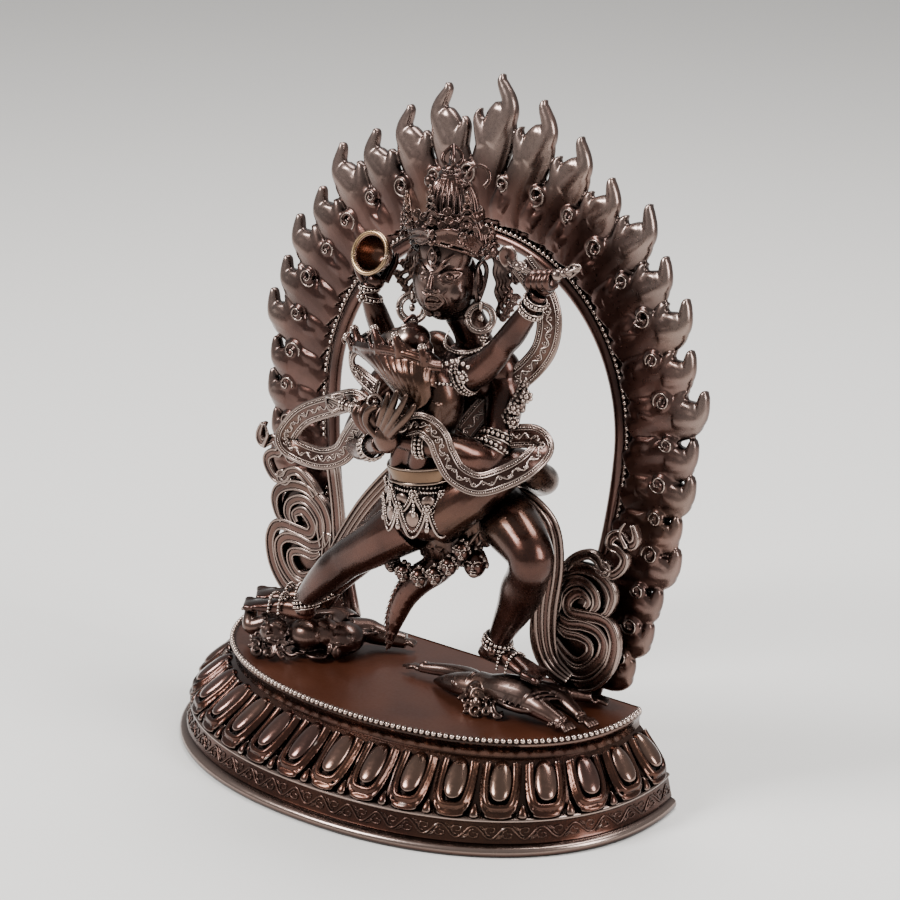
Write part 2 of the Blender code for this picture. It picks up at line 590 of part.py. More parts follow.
def turned(name, bm, finish, place):
    """Spins a profile about Z into a closed piece and puts it at its place."""
    piece = add_piece(name, bm, finish)
    screw = piece.modifiers.new("turn", "SCREW")
    screw.axis = "Z"
    screw.steps = 14
    screw.render_steps = 14
    screw.use_merge_vertices = True
    screw.merge_threshold = 0.00001
    screw.use_normal_calculate = True
    bake(piece)
    piece.data.transform(place)
    bm = bmesh.new()
    bm.from_mesh(piece.data)
    bmesh.ops.remove_doubles(bm, verts=bm.verts, dist=0.00001)
    bmesh.ops.recalc_face_normals(bm, faces=bm.faces)
    bm.to_mesh(piece.data)
    bm.free()
    return piece


def make_figures(dark, brass):
    bm = bmesh.new()
    make_him(bm)
    make_her(bm)
    make_dress(bm)
    pair = add_piece("figure_pair", bm, dark)
    fuse(pair, FIGURE_VOXEL, FIGURE_TRIANGLES)
    cup = turned("skull_cup", make_cup(), brass, cup_frame())
    seat = bmesh.new()
    reach = Matrix.Diagonal((CUP_RADIUS + GAP * 1.5, CUP_RADIUS + GAP * 1.5, CUP_DEPTH + GAP * 1.5, 1))
    bmesh.ops.create_uvsphere(seat, u_segments=16, v_segments=10, radius=1.02, matrix=cup_frame() @ reach)
    cutter_mesh = bpy.data.meshes.new("cup_seat")
    seat.to_mesh(cutter_mesh)
    seat.free()
    cutter = bpy.data.objects.new("cup_seat", cutter_mesh)
    cutter.hide_render = True
    cutter.display_type = "WIRE"
    cutters.objects.link(cutter)
    subtract(pair, cutter)
    return pair, cup


def make_trampled(name, finish, height, balls, limbs):
    """A small figure lying on the base, cut level under the foot that it bears; heights are from the base's top."""
    bm = bmesh.new()
    for centre, radii in balls:
        x, y, z = (value * FIGURE_UNIT for value in centre)
        ball(bm, (x, y, BASE_HEIGHT + GAP + z), [radius * FIGURE_UNIT for radius in radii])
    for points in limbs:
        route = [[value * FIGURE_UNIT for value in point] for point in points]
        limb(bm, [(x, y, BASE_HEIGHT + GAP + z, radius) for x, y, z, radius in route])
    piece = add_piece(name, bm, finish)
    fuse(piece, FIGURE_VOXEL, TRAMPLED_TRIANGLES)
    trim(piece, BASE_HEIGHT + GAP, keep_above=True)
    trim(piece, BASE_HEIGHT + GAP + height, keep_above=False)
    return piece


for obj in list(bpy.data.objects):
    bpy.data.objects.remove(obj)
statue = bpy.data.collections.new("chakrasamvara_statue")
cutters = bpy.data.collections.new("cutters")
bpy.context.scene.collection.children.link(statue)
bpy.context.scene.collection.children.link(cutters)

copper = material("oxidised copper, dark", (0.16, 0.06, 0.04), 0.34)
copper_low = material("oxidised copper, worn", (0.14, 0.055, 0.04), 0.38)
brass_rim = material("brass-toned copper", (0.42, 0.26, 0.13), 0.32)

make_base()
make_aureole()
make_figures(copper, brass_rim)
make_trampled(
    "trampled_figure_left_of_base", copper_low, TRAMPLED_HEIGHT,
    balls=[((-47, -22, 7), (6, 6, 6)), ((-33, -18, 7), (9, 7, 6.5)), ((-27, -9, 6), (7, 7, 6)),
           ((-46, -27, 3.5), (4.5, 3, 4)), ((-33, -25, 2.5), (4.5, 2.5, 3))],
    limbs=[[(-42, -16, 8, 4), (-54, -13, 9, 3.4), (-58, -19, 5, 2.8), (-54, -24, 2.5, 2.4)],
           [(-26, -14, 6, 5), (-20, -16, 5.5, 4.2), (-16, -10, 4.5, 3.2), (-16, 2, 3, 2.6), (-12, 8, 2.4, 2.2)],
           [(-27, -6, 6, 4.5), (-32, 2, 7, 4), (-42, 2, 6, 3), (-48, -4, 5, 2.6)]],
)
make_trampled(
    "trampled_figure_right_of_base", copper_low, TRAMPLED_HEIGHT,
    balls=[((30, -10, 4.5), (9, 5.5, 5.5)), ((44, -8.5, 6.5), (9, 6.5, 6)), ((41, -16, 4), (4.5, 4, 4.5)),
           ((67, -11, 2.8), (4.5, 3.5, 3.4))],
    limbs=[[(36, -9, 5, 5), (26, -11, 4, 4), (18, -12, 2.6, 2.2), (14, -12, 2.0, 1.0)],
           [(30, -7, 4.5, 3), (14, -2, 3.4, 2.4), (2, -3.5, 2.6, 2.0), (-2, -4.4, 2.6, 1.2)],
           [(48, -9, 6.5, 5.4), (58, -10, 6, 4.2), (66, -10.5, 3.4, 3.2)],
           [(48, -6, 6.5, 5), (59, -4, 5, 3.6), (68, -4, 3, 2.6), (73, -5, 2, 1.6)],
           [(46, -4, 6, 4), (54, -1.5, 4, 2.4), (60, -0.5, 2.4, 1.8)]],
)
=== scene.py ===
import random
from math import acos, asin, atan2, copysign, cos, degrees, exp, floor, hypot, pi, radians, sin, sqrt, tan

import bmesh
import bpy
from mathutils import Matrix, Vector, noise


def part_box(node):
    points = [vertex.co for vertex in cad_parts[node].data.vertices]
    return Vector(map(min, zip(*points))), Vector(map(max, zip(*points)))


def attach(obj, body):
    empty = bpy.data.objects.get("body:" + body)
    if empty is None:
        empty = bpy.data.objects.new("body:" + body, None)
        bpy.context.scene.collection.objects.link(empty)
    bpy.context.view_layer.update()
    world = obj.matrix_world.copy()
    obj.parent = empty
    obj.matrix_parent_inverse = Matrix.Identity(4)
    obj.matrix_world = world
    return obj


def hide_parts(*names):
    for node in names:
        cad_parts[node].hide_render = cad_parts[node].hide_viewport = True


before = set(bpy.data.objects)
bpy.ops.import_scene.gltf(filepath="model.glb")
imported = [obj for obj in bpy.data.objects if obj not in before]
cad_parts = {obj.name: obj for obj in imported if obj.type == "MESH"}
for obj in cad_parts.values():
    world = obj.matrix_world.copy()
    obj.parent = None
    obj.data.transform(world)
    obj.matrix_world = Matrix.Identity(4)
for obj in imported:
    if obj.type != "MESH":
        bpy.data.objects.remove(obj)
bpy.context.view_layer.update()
random.seed(7)

# where things are: the base's top, the soles and the figures' unit come from the frame
baseLow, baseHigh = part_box("lotus_base")
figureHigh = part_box("figure_pair")[1]
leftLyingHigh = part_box("trampled_figure_left_of_base")[1]
seam = 0.0003  # gap between pieces that rest on each other
topZ = baseHigh.z
soleZ = leftLyingHigh.z + seam
unit = (figureHigh.z - soleZ) / 163  # points of the figures are in this unit, heights from the soles
backY = baseHigh.y


def blendTo(a, b, share):
    return a + (b - a) * share


def clampTo(value, low=0.0, high=1.0):
    return max(low, min(high, value))


def easeStep(low, high, value):
    share = clampTo((value - low) / (high - low))
    return share * share * (3 - 2 * share)


def smoothRoute(points, steps=5):
    # a smooth curve through the points, which blends every value that they hold
    route = []
    for i in range(len(points) - 1):
        before, start = points[max(i - 1, 0)], points[i]
        end, after = points[i + 1], points[min(i + 2, len(points) - 1)]
        for step in range(steps):
            t = step / steps
            route.append(tuple(
                0.5 * (2 * b + (c - a) * t + (2 * a - 5 * b + 4 * c - d) * t**2 + (3 * b - a - 3 * c + d) * t**3)
                for a, b, c, d in zip(before, start, end, after)
            ))
    route.append(tuple(points[-1]))
    return route


def onFigure(points):
    # figure units to metres
    placed = []
    for point in points:
        x, y, height, *sizes = (value * unit for value in point)
        placed.append((x, y, soleZ + height, *sizes))
    return placed


def routeFrames(points, facing=None):
    # a matrix at each point: X across, Y out of the flat side, Z along the route
    frames = []
    out = Vector(facing if facing else (0.13, -0.93, 0.34))
    for i, point in enumerate(points):
        ahead, behind = Vector(points[min(i + 1, len(points) - 1)][:3]), Vector(points[max(i - 1, 0)][:3])
        along = (ahead - behind).normalized()
        across = out.cross(along)
        if across.length < 1e-6:
            across = Vector((1, 0, 0))
        across.normalize()
        turnedOut = along.cross(across)
        matrix = Matrix((across, turnedOut, along)).transposed().to_4x4()
        matrix.translation = point[:3]
        frames.append(matrix)
        if not facing:
            out = turnedOut
    return frames


def addForm(bm, form):
    # each form is shaped in a small mesh of its own, which is far quicker than in the growing one
    mesh = bpy.data.meshes.new("form")
    form.to_mesh(mesh)
    form.free()
    bm.from_mesh(mesh)
    bpy.data.meshes.remove(mesh)


def spindle(bm, points, facing=None, sides=12, square=1.0):
    # a closed tube through points of x, y, z, half width and half thickness; square under 1 boxes its section
    rows = len(points) + 1
    form = bmesh.new()
    bmesh.ops.create_uvsphere(form, u_segments=sides, v_segments=rows, radius=1)
    frames = routeFrames(points, facing)
    for vert in form.verts:
        row = round((pi - acos(clampTo(vert.co.z, -1, 1))) / pi * rows)
        index = min(max(row - 1, 0), len(points) - 1)
        across = out = 0.0
        if 0 < row < rows:
            reach = hypot(vert.co.x, vert.co.y)
            across = copysign(abs(vert.co.x / reach) ** square, vert.co.x) * points[index][3]
            out = copysign(abs(vert.co.y / reach) ** square, vert.co.y) * points[index][4]
        vert.co = frames[index] @ Vector((across, out, 0))
    addForm(bm, form)


def tube(bm, points, steps=5, sides=12):
    # a round tube through points of x, y, z and radius
    spindle(bm, [(*point, point[3]) for point in smoothRoute(points, steps)], sides=sides)


def limb(bm, *points, steps=6, sides=20):
    tube(bm, onFigure(points), steps, sides)


def ball(bm, centre, radii, turn=(0, 0, 0), segments=20):
    matrix = Matrix.Translation(centre)
    for axis, angle in zip("ZYX", turn[::-1]):
        matrix = matrix @ Matrix.Rotation(radians(angle), 4, axis)
    form = bmesh.new()
    bmesh.ops.create_uvsphere(
        form, u_segments=segments, v_segments=max(segments * 2 // 3, 4), radius=1,
        matrix=matrix @ Matrix.Diagonal((*radii, 1)),
    )
    addForm(bm, form)


def lump(bm, centre, radii, turn=(0, 0, 0), segments=24):
    ball(bm, onFigure([centre])[0], [radius * unit for radius in radii], turn, segments)


def ribbon(bm, facing, halfWidth, halfThickness, *points, steps=5, square=0.7, sides=16):
    wide = [(*point, halfWidth, halfThickness) for point in smoothRoute(points, steps)]
    spindle(bm, onFigure(wide), facing, sides, square)


def routeLength(route):
    return sum((Vector(b[:3]) - Vector(a[:3])).length for a, b in zip(route, route[1:]))


def evenPoints(route, pitch, closed=False):
    # places at an even pitch along a route
    route = [Vector(point[:3]) for point in route] + ([Vector(route[0][:3])] if closed else [])
    count = max(2, round(routeLength(route) / pitch))
    step = routeLength(route) / count
    places, due, walked = [], 0.0, 0.0
    for a, b in zip(route, route[1:]):
        size = (b - a).length
        while size > 0 and due <= walked + size and len(places) < count + (not closed):
            places.append(a.lerp(b, (due - walked) / size))
            due += step
        walked += size
    return places


def beadRow(bm, route, radius, pitch, closed=False, segments=8):
    for place in evenPoints(route, pitch, closed):
        ball(bm, place, (radius, radius, radius), segments=segments)


def evaluatedMesh(piece):
    return bpy.data.meshes.new_from_object(piece.evaluated_get(bpy.context.evaluated_depsgraph_get()))


def bakeModifiers(piece):
    mesh, old = evaluatedMesh(piece), piece.data
    piece.modifiers.clear()
    piece.data = mesh
    bpy.data.meshes.remove(old)


def pieceFrom(name, bm):
    bmesh.ops.recalc_face_normals(bm, faces=bm.faces)
    mesh = bpy.data.meshes.new(name)
    bm.to_mesh(mesh)
    bm.free()
    piece = bpy.data.objects.new(name, mesh)
    bpy.context.scene.collection.objects.link(piece)
    return piece


def dropCrumbs(piece, fewest=60):
    # loose specks that melting or thinning leaves
    bm = bmesh.new()
    bm.from_mesh(piece.data)
    left = set(bm.verts)
    while left:
        island, search = set(), [left.pop()]
        while search:
            vert = search.pop()
            island.add(vert)
            near = {edge.other_vert(vert) for edge in vert.link_edges} & left
            left -= near
            search.extend(near)
        if len(island) < fewest:
            bmesh.ops.delete(bm, geom=list(island), context="VERTS")
    bm.to_mesh(piece.data)
    bm.free()


def melt(piece, voxel, relax=2, keep=None):
    # one skin round all forms, relaxed, and thinned to a number of triangles
    remesh = piece.modifiers.new("melt", "REMESH")
    remesh.mode = "VOXEL"
    remesh.voxel_size = voxel
    if relax:
        soften = piece.modifiers.new("relax", "SMOOTH")
        soften.factor = 0.5
        soften.iterations = relax
    bakeModifiers(piece)
    dropCrumbs(piece)
    triangles = 2 * len(piece.data.polygons)
    print("melted", piece.name, triangles, "triangles")
    if keep and triangles > keep:
        thin = piece.modifiers.new("thin", "DECIMATE")
        thin.ratio = keep / triangles
        bakeModifiers(piece)


def carve(piece, depthAt):
    # moves each point along its normal by depthAt(place, normal)
    mesh = piece.data
    moved = []
    for vert in mesh.vertices:
        moved.extend(vert.co + vert.normal * depthAt(vert.co, vert.normal))
    mesh.vertices.foreach_set("co", moved)
    mesh.update()


def paint(piece, shareAt, name="paintedHighlight"):
    # a number from 0 to 1 at each point, which the finish reads as painted highlight
    layer = piece.data.attributes.new(name, "FLOAT", "POINT")
    layer.data.foreach_set("value", [clampTo(shareAt(vert.co, vert.normal)) for vert in piece.data.vertices])


def finishPiece(piece, finish, slotName, *nodes):
    piece.data.materials.clear()
    piece.data.materials.append(finish)
    piece.data.shade_smooth()
    if "paintedHighlight" not in piece.data.attributes:
        paint(piece, lambda place, normal: 0.0)
    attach(piece, "root")
    if nodes:
        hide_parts(*nodes)
    print("made", piece.name, sum(len(face.vertices) - 2 for face in piece.data.polygons), "triangles")
    return piece


# finishes

# the near-black colour for hollows stands for dark patina and painted shade together; the bright colour serves rubbed
# edges and painted highlights
copperLook = {
    "deep": (0.040, 0.0165, 0.0120), "open": (0.092, 0.039, 0.028), "brass": (0.19, 0.115, 0.065), "brassShare": 0.20,
    "bright": (0.60, 0.47, 0.41), "hollowPatinaAndShade": (0.0035, 0.0022, 0.0018), "cloudScale": 55.0,
    "edgeFrom": 0.545, "edgeTo": 0.66, "hollowReach": 0.0045, "hollowTo": 0.92,
    "rough": 0.27, "edgeRough": 0.20, "grain": 0.04, "coat": 0.35, "metal": 1.0,
}


def mapRange(nodes, fromMin, fromMax, toMin=0.0, toMax=1.0):
    node = nodes.new("ShaderNodeMapRange")
    for socket, value in zip(("From Min", "From Max", "To Min", "To Max"), (fromMin, fromMax, toMin, toMax)):
        node.inputs[socket].default_value = value
    return node


def mixColour(nodes, links, factor, first, second):
    # first and second are colours or sockets
    mix = nodes.new("ShaderNodeMix")
    mix.data_type = "RGBA"
    links.new(factor, mix.inputs[0])
    for socket, value in ((mix.inputs[6], first), (mix.inputs[7], second)):
        if isinstance(value, tuple):
            socket.default_value = (*value, 1)
        else:
            links.new(value, socket)
    return mix.outputs[2]


def copperFinish(name, **changes):
    # oxidised copper: reddish brown in the open, rubbed bright on high edges, with painted highlights where a piece
    # carries them, and near-black in hollows from dark patina and painted shade
    look = {**copperLook, **changes}
    finish = bpy.data.materials.new(name)
    finish.use_nodes = True
    nodes, links = finish.node_tree.nodes, finish.node_tree.links
    shader = nodes["Principled BSDF"]
    shader.inputs["Metallic"].default_value = look["metal"]
    shader.inputs["Coat Weight"].default_value = look["coat"]
    shader.inputs["Coat Roughness"].default_value = 0.16
    place = nodes.new("ShaderNodeTexCoord")
    # clouds of lighter and darker patina, with a brassy tint here and there
    cloud = nodes.new("ShaderNodeTexNoise")
    cloud.inputs["Scale"].default_value = look["cloudScale"]
    cloud.inputs["Detail"].default_value = 6.0
    links.new(place.outputs["Object"], cloud.inputs["Vector"])
    cloudShare = mapRange(nodes, 0.36, 0.66)
    links.new(cloud.outputs["Fac"], cloudShare.inputs["Value"])
    colour = mixColour(nodes, links, cloudShare.outputs["Result"], look["deep"], look["open"])
    tint = nodes.new("ShaderNodeTexNoise")
    tint.inputs["Scale"].default_value = look["cloudScale"] * 0.45
    links.new(place.outputs["Object"], tint.inputs["Vector"])
    tintShare = mapRange(nodes, 0.50, 0.68, 0.0, look["brassShare"])
    links.new(tint.outputs["Fac"], tintShare.inputs["Value"])
    colour = mixColour(nodes, links, tintShare.outputs["Result"], colour, look["brass"])
    # rubbed edges, and the painted highlight that a piece carries
    shape = nodes.new("ShaderNodeNewGeometry")
    edge = mapRange(nodes, look["edgeFrom"], look["edgeTo"])
    links.new(shape.outputs["Pointiness"], edge.inputs["Value"])
    painted = nodes.new("ShaderNodeAttribute")
    painted.attribute_name = "paintedHighlight"
    wearAndHighlight = nodes.new("ShaderNodeMath")
    wearAndHighlight.operation = "MAXIMUM"
    links.new(edge.outputs["Result"], wearAndHighlight.inputs[0])
    links.new(painted.outputs["Fac"], wearAndHighlight.inputs[1])
    colour = mixColour(nodes, links, wearAndHighlight.outputs[0], colour, look["bright"])
    # painted shade and dark patina in the hollows, found by ambient occlusion
    if look["hollowReach"]:
        shelter = nodes.new("ShaderNodeAmbientOcclusion")
        shelter.samples = 4
        shelter.inputs["Distance"].default_value = look["hollowReach"]
        hollow = mapRange(nodes, 0.25, look["hollowTo"])
        links.new(shelter.outputs["AO"], hollow.inputs["Value"])
        colour = mixColour(nodes, links, hollow.outputs["Result"], look["hollowPatinaAndShade"], colour)
    links.new(colour, shader.inputs["Base Color"])
    # fine rubbing marks
    rub = nodes.new("ShaderNodeTexNoise")
    rub.inputs["Scale"].default_value = 900.0
    rub.inputs["Detail"].default_value = 3.0
    links.new(place.outputs["Object"], rub.inputs["Vector"])
    rough = mapRange(nodes, 0.2, 0.8, look["rough"] - 0.06, look["rough"] + 0.08)
    links.new(rub.outputs["Fac"], rough.inputs["Value"])
    shine = nodes.new("ShaderNodeMix")
    shine.data_type = "FLOAT"
    shine.inputs[3].default_value = look["edgeRough"]
    links.new(wearAndHighlight.outputs[0], shine.inputs[0])
    links.new(rough.outputs["Result"], shine.inputs[2])
    links.new(shine.outputs[0], shader.inputs["Roughness"])
    bump = nodes.new("ShaderNodeBump")
    bump.inputs["Strength"].default_value = look["grain"]
    bump.inputs["Distance"].default_value = 0.0001
    links.new(rub.outputs["Fac"], bump.inputs["Height"])
    links.new(bump.outputs["Normal"], shader.inputs["Normal"])
    return finish


figureCopper = copperFinish("darkOxidisedCopper")
flameCopper = copperFinish("flameCopper", deep=(0.055, 0.025, 0.0195), open=(0.120, 0.058, 0.046), edgeFrom=0.53, edgeTo=0.63, rough=0.30)
baseCopper = copperFinish("baseCopper", deep=(0.048, 0.0175, 0.011), open=(0.090, 0.034, 0.021), brassShare=0.12, rough=0.24,
                          hollowReach=0.003, edgeFrom=0.54, edgeTo=0.64)
plateCopper = copperFinish("lacqueredPlate", deep=(0.062, 0.0175, 0.008), open=(0.084, 0.024, 0.0105), brassShare=0.02, rough=0.34,
                           metal=0.35, coat=0.15, grain=0.01, hollowReach=0)
vineCopper = copperFinish("vineCopper", deep=(0.060, 0.027, 0.019), open=(0.10, 0.048, 0.035), edgeFrom=0.62, edgeTo=0.85, rough=0.26)
bulbCopper = copperFinish("petalBulbCopper", deep=(0.10, 0.046, 0.036), open=(0.17, 0.085, 0.066), brass=(0.27, 0.18, 0.12), coat=0.6,
                          brassShare=0.35, rough=0.19, hollowReach=0.002)
jewelCopper = copperFinish("polishedJewelCopper", deep=(0.056, 0.026, 0.0195), open=(0.112, 0.056, 0.043), edgeFrom=0.525,
                           edgeTo=0.63, hollowReach=0.003, hollowTo=0.95)
pearlCopper = copperFinish("rubbedPearlCopper", deep=(0.12, 0.070, 0.055), open=(0.21, 0.130, 0.105), edgeFrom=0.51,
                           edgeTo=0.62, hollowReach=0.0022, hollowTo=0.97)
brassRim = copperFinish("brassTonedRim", deep=(0.30, 0.18, 0.09), open=(0.42, 0.27, 0.14), rough=0.25)
beltCopper = copperFinish("beltCopper", deep=(0.11, 0.062, 0.036), open=(0.18, 0.105, 0.060), rough=0.22)
wornCopper = copperFinish("wornCopper", rough=0.30, hollowReach=0.004)
print("finishes are ready")

# stage: pale floor, soft lights and the photograph's camera

stageLook = {"floorSize": 3.0, "floorColour": (0.78, 0.76, 0.73), "worldGrey": 0.42}


def softLight(name, place, size, power, aim=(0, 0, 0.1), colour=(1, 1, 1)):
    data = bpy.data.lights.new(name, "AREA")
    data.shape = "RECTANGLE"
    data.size, data.size_y = size
    data.energy = power
    data.color = colour
    lamp = bpy.data.objects.new(name, data)
    lamp.location = place
    lamp.rotation_euler = (Vector(aim) - Vector(place)).to_track_quat("-Z", "Y").to_euler()
    bpy.context.scene.collection.objects.link(lamp)


def makeStage():
    bm = bmesh.new()
    bmesh.ops.create_grid(bm, x_segments=1, y_segments=1, size=stageLook["floorSize"] / 2)
    floor = pieceFrom("floor", bm)
    paper = bpy.data.materials.new("palePaper")
    paper.use_nodes = True
    shader = paper.node_tree.nodes["Principled BSDF"]
    shader.inputs["Base Color"].default_value = (*stageLook["floorColour"], 1)
    shader.inputs["Roughness"].default_value = 0.85
    floor.data.materials.append(paper)
    world = bpy.data.worlds.new("paleRoom")
    world.use_nodes = True
    grey = stageLook["worldGrey"]
    world.node_tree.nodes["Background"].inputs["Color"].default_value = (grey, grey, grey, 1)
    bpy.context.scene.world = world
    softLight("keyLight", (-0.55, -0.75, 0.95), (0.42, 0.42), 20)
    softLight("sideLight", (0.95, 0.05, 0.55), (0.30, 0.6), 9)
    softLight("topLight", (0.0, 0.35, 0.9), (0.6, 0.3), 9)


def makeCamera():
    camera = bpy.data.cameras.new("camera")
    camera.sensor_width = 36.0
    camera.lens = 127.9
    camera.clip_start = 0.05
    holder = bpy.data.objects.new("camera", camera)
    place, aim = Vector((0.6097, -0.7317, 0.4384)), Vector((0.0067, 0.0055, 0.105))
    holder.location = place
    holder.rotation_euler = (aim - place).to_track_quat("-Z", "Y").to_euler()
    bpy.context.scene.collection.objects.link(holder)
    bpy.context.scene.camera = holder


makeStage()
makeCamera()
print("stage and camera are ready")

# lotus base

baseLook = {
    "petals": 18, "footRim": 0.0030, "band": 0.0080, "petalHeight": 0.0135, "neck": 0.0035, "topRim": 0.0025,
    "outlinePower": 2.14, "petalReach": 0.0034, "beadRadius": 0.00098, "beadPitch": 0.0020, "plateBrightness": 0.0,
}
# half width, front reach and the y of the widest place, at the plate and at the foot
plateOutline = (0.0759, 0.0434, 0.0061)
footOutline = (baseHigh.x, -baseLow.y, 0.0025)
bandTop = baseLook["footRim"] + baseLook["band"]
neckZ = bandTop + baseLook["petalHeight"]


def outlinePoint(share, flare, out=0.0):
    # share runs from the back right corner round the front to the back left one
    halfWidth, front, widest = (blendTo(a, b, flare) for a, b in zip(plateOutline, footOutline))
    depth = front + widest
    power = baseLook["outlinePower"]
    back = asin(clampTo(((backY - widest) / depth)) ** (power / 2))
    turn = blendTo(-back, pi + back, share)
    x = (halfWidth + out) * copysign(abs(cos(turn)) ** (2 / power), cos(turn))
    y = widest - (depth + out) * copysign(abs(sin(turn)) ** (2 / power), sin(turn))
    return Vector((x, min(y, backY), 0))


def outlineShares(flare, count):
    # shares at an even pitch along the outline
    fine = 1500
    points = [outlinePoint(i / fine, flare) for i in range(fine + 1)]
    reach = [0.0]
    for a, b in zip(points, points[1:]):
        reach.append(reach[-1] + (b - a).length)
    shares, at = [], 0
    for i in range(count + 1):
        target = reach[-1] * i / count
        while at < fine - 1 and reach[at + 1] < target:
            at += 1
        shares.append((at + (target - reach[at]) / max(reach[at + 1] - reach[at], 1e-12)) / fine)
    return shares


midShares = outlineShares(0.6, baseLook["petals"] * 8)


def baseShare(position):
    # position in petals along the middle of the petal row
    at = clampTo(position * 8, 0, len(midShares) - 1.000001)
    return blendTo(midShares[int(at)], midShares[int(at) + 1], at - int(at))


def makeBaseBody():
    # profile of height, flare and inset, swept round the outline
    rim, band = baseLook["footRim"], baseLook["band"]
    profile = [
        (0.0, 0.975, 0), (0.0003, 0.995, 0), (rim * 0.30, 1.012, 0), (rim * 0.60, 1.014, 0), (rim * 0.85, 0.995, 0), (rim, 0.955, 0),
        (rim + 0.0001, 0.90, 0), (rim + 0.0004, 0.870, 0), (rim + 0.0009, 0.880, 0), (rim + 0.0013, 0.865, 0),
        (rim + band * 0.84, 0.770, 0), (rim + band * 0.88, 0.785, 0), (rim + band * 0.93, 0.808, 0), (rim + band * 0.98, 0.808, 0),
        (bandTop + 0.0002, 0.785, 0), (bandTop + 0.0004, 0.70, 0), (bandTop + 0.0010, 0.60, 0), (bandTop + 0.25 * 0.0135, 0.52, 0),
        (bandTop + 0.6 * 0.0135, 0.28, 0), (neckZ - 0.0008, 0.0, 0), (neckZ, -0.075, 0), (neckZ + 0.0012, -0.095, 0), (topZ - 0.0030, -0.075, 0),
        (topZ - 0.0022, -0.035, 0), (topZ - 0.0014, -0.02, 0), (topZ - 0.0009, -0.03, 0), (topZ - 0.0009, -0.060, 0), (topZ, -0.068, 0), (topZ, -0.085, 0),
        (topZ - 0.0003, -0.10, 0), (topZ - 0.0003, -0.16, 0),
    ]
    bm = bmesh.new()
    count = 240
    shares = outlineShares(0.5, count)
    previous = None
    for height, flare, _ in profile:
        ring = [bm.verts.new((*outlinePoint(share, flare).xy, height)) for share in shares]
        if previous:
            for k in range(len(ring)):
                bm.faces.new((previous[k - 1], previous[k], ring[k], ring[k - 1]))
        else:
            bm.faces.new(ring)
        previous = ring
    bm.faces.new(previous)
    bmesh.ops.recalc_face_normals(bm, faces=bm.faces[:])
    body = pieceFrom("lotusBaseBody", bm)
    body.data.set_sharp_from_angle(angle=radians(38))
    return body


def petalPlace(centre, across, height, out):
    # a place on the petal row: across in petals, height a share of the petal height, out in metres
    flare = blendTo(0.74, -0.02, easeStep(-0.1, 1.1, height))
    share = baseShare(centre + across)
    point = outlinePoint(share, flare, 0)
    ahead, behind = outlinePoint(share + 0.002, flare), outlinePoint(share - 0.002, flare)
    along = (ahead - behind).normalized()
    outward = Vector((along.y, -along.x, 0))
    if outward.dot(point - Vector((0, 0.0, 0))) < 0:
        outward = -outward
    return point + outward * out + Vector((0, 0, bandTop + height * baseLook["petalHeight"]))


def petalForm(bm, centre, halfWidth, low, high, out, thick, sides=20, rows=14, lean=0.0, taper=0.14, boxy=0.75):
    # an egg-shaped boss on the petal row, a little narrower towards its top
    form = bmesh.new()
    bmesh.ops.create_uvsphere(form, u_segments=sides, v_segments=rows, radius=1)
    for vert in form.verts:
        x, y, z = vert.co
        height = blendTo(low, high, (z + 1) / 2)
        width = halfWidth * (1.0 - taper * z) * copysign(abs(x) ** boxy, x)
        vert.co = petalPlace(centre, width, height, out + thick * y + lean * (z + 1) / 2)
    addForm(bm, form)


def petalRim(bm, centre, halfWidth, low, high, out, radius, cusp=0.0, topWidth=0.86):
    # a raised rim that runs down one side of the petal, round its foot with a cusp in the middle, and up the other side
    route = []
    steps = 36
    for i in range(steps + 1):
        x = blendTo(-1, 1, i / steps)
        turn = abs(x) * pi / 2
        side = copysign(sin(turn) ** 0.55, x) if x else 0.0
        height = low + (high - low) * (1 - cos(turn)) ** 1.25 + cusp * exp(-((x / 0.13) ** 2))
        width = halfWidth * blendTo(1.0, topWidth, clampTo((height - low) / (high - low)) ** 2)
        bulge = out * (1 - 0.55 * clampTo((height - low) / (high - low)) ** 2)
        route.append((*petalPlace(centre, side * width, height, bulge), radius))
    tube(bm, route, 1, 8)


def makePetals():
    bulbs, rims = bmesh.new(), bmesh.new()
    reach = baseLook["petalReach"]
    for k in range(baseLook["petals"]):
        centre = k + 0.5
        petalForm(bulbs, centre, 0.265, 0.36, 1.0, reach * 0.70, 0.0034, lean=-0.0016, taper=0.04, boxy=0.85)
        # body of the petal, its plump inner lobes, the outer rim and the lip that curls out under it
        petalForm(rims, centre, 0.47, 0.08, 0.90, -0.0008, 0.0023, lean=-0.0022, taper=0.0, boxy=0.6)
        petalRim(rims, centre, 0.350, 0.245, 0.97, reach * 0.60, 0.00120, 0.0, 0.90)
        petalRim(rims, centre, 0.452, 0.115, 0.95, reach * 0.44, 0.00052, 0.085, 0.94)
        petalForm(rims, centre, 0.30, 0.02, 0.17, reach * 0.34, 0.0012, 16, 8, taper=0, boxy=1)
        # small pointed petal between the neighbours
        if k < baseLook["petals"] - 1:
            petalForm(rims, k + 1.0, 0.085, 0.02, 0.30, reach * 0.30, 0.0012, 12, 8, taper=0.6)
    bulbPiece = pieceFrom("lotusPetalBulbs", bulbs)
    rimPiece = pieceFrom("lotusPetals", rims)
    melt(rimPiece, 0.00034, 1, 86000)
    return bulbPiece, rimPiece


def bandPlaceAt(along, height, out):
    # a place on the recessed band, by the share of the way round
    flare = blendTo(0.87, 0.775, height)
    point = outlinePoint(along, flare)
    ahead, behind = outlinePoint(along + 0.001, flare), outlinePoint(along - 0.001, flare)
    way = (ahead - behind).normalized()
    outward = Vector((way.y, -way.x, 0))
    if outward.dot(point) < 0:
        outward = -outward
    return point + outward * out + Vector((0, 0, baseLook["footRim"] + blendTo(0.0016, 0.0064, height)))


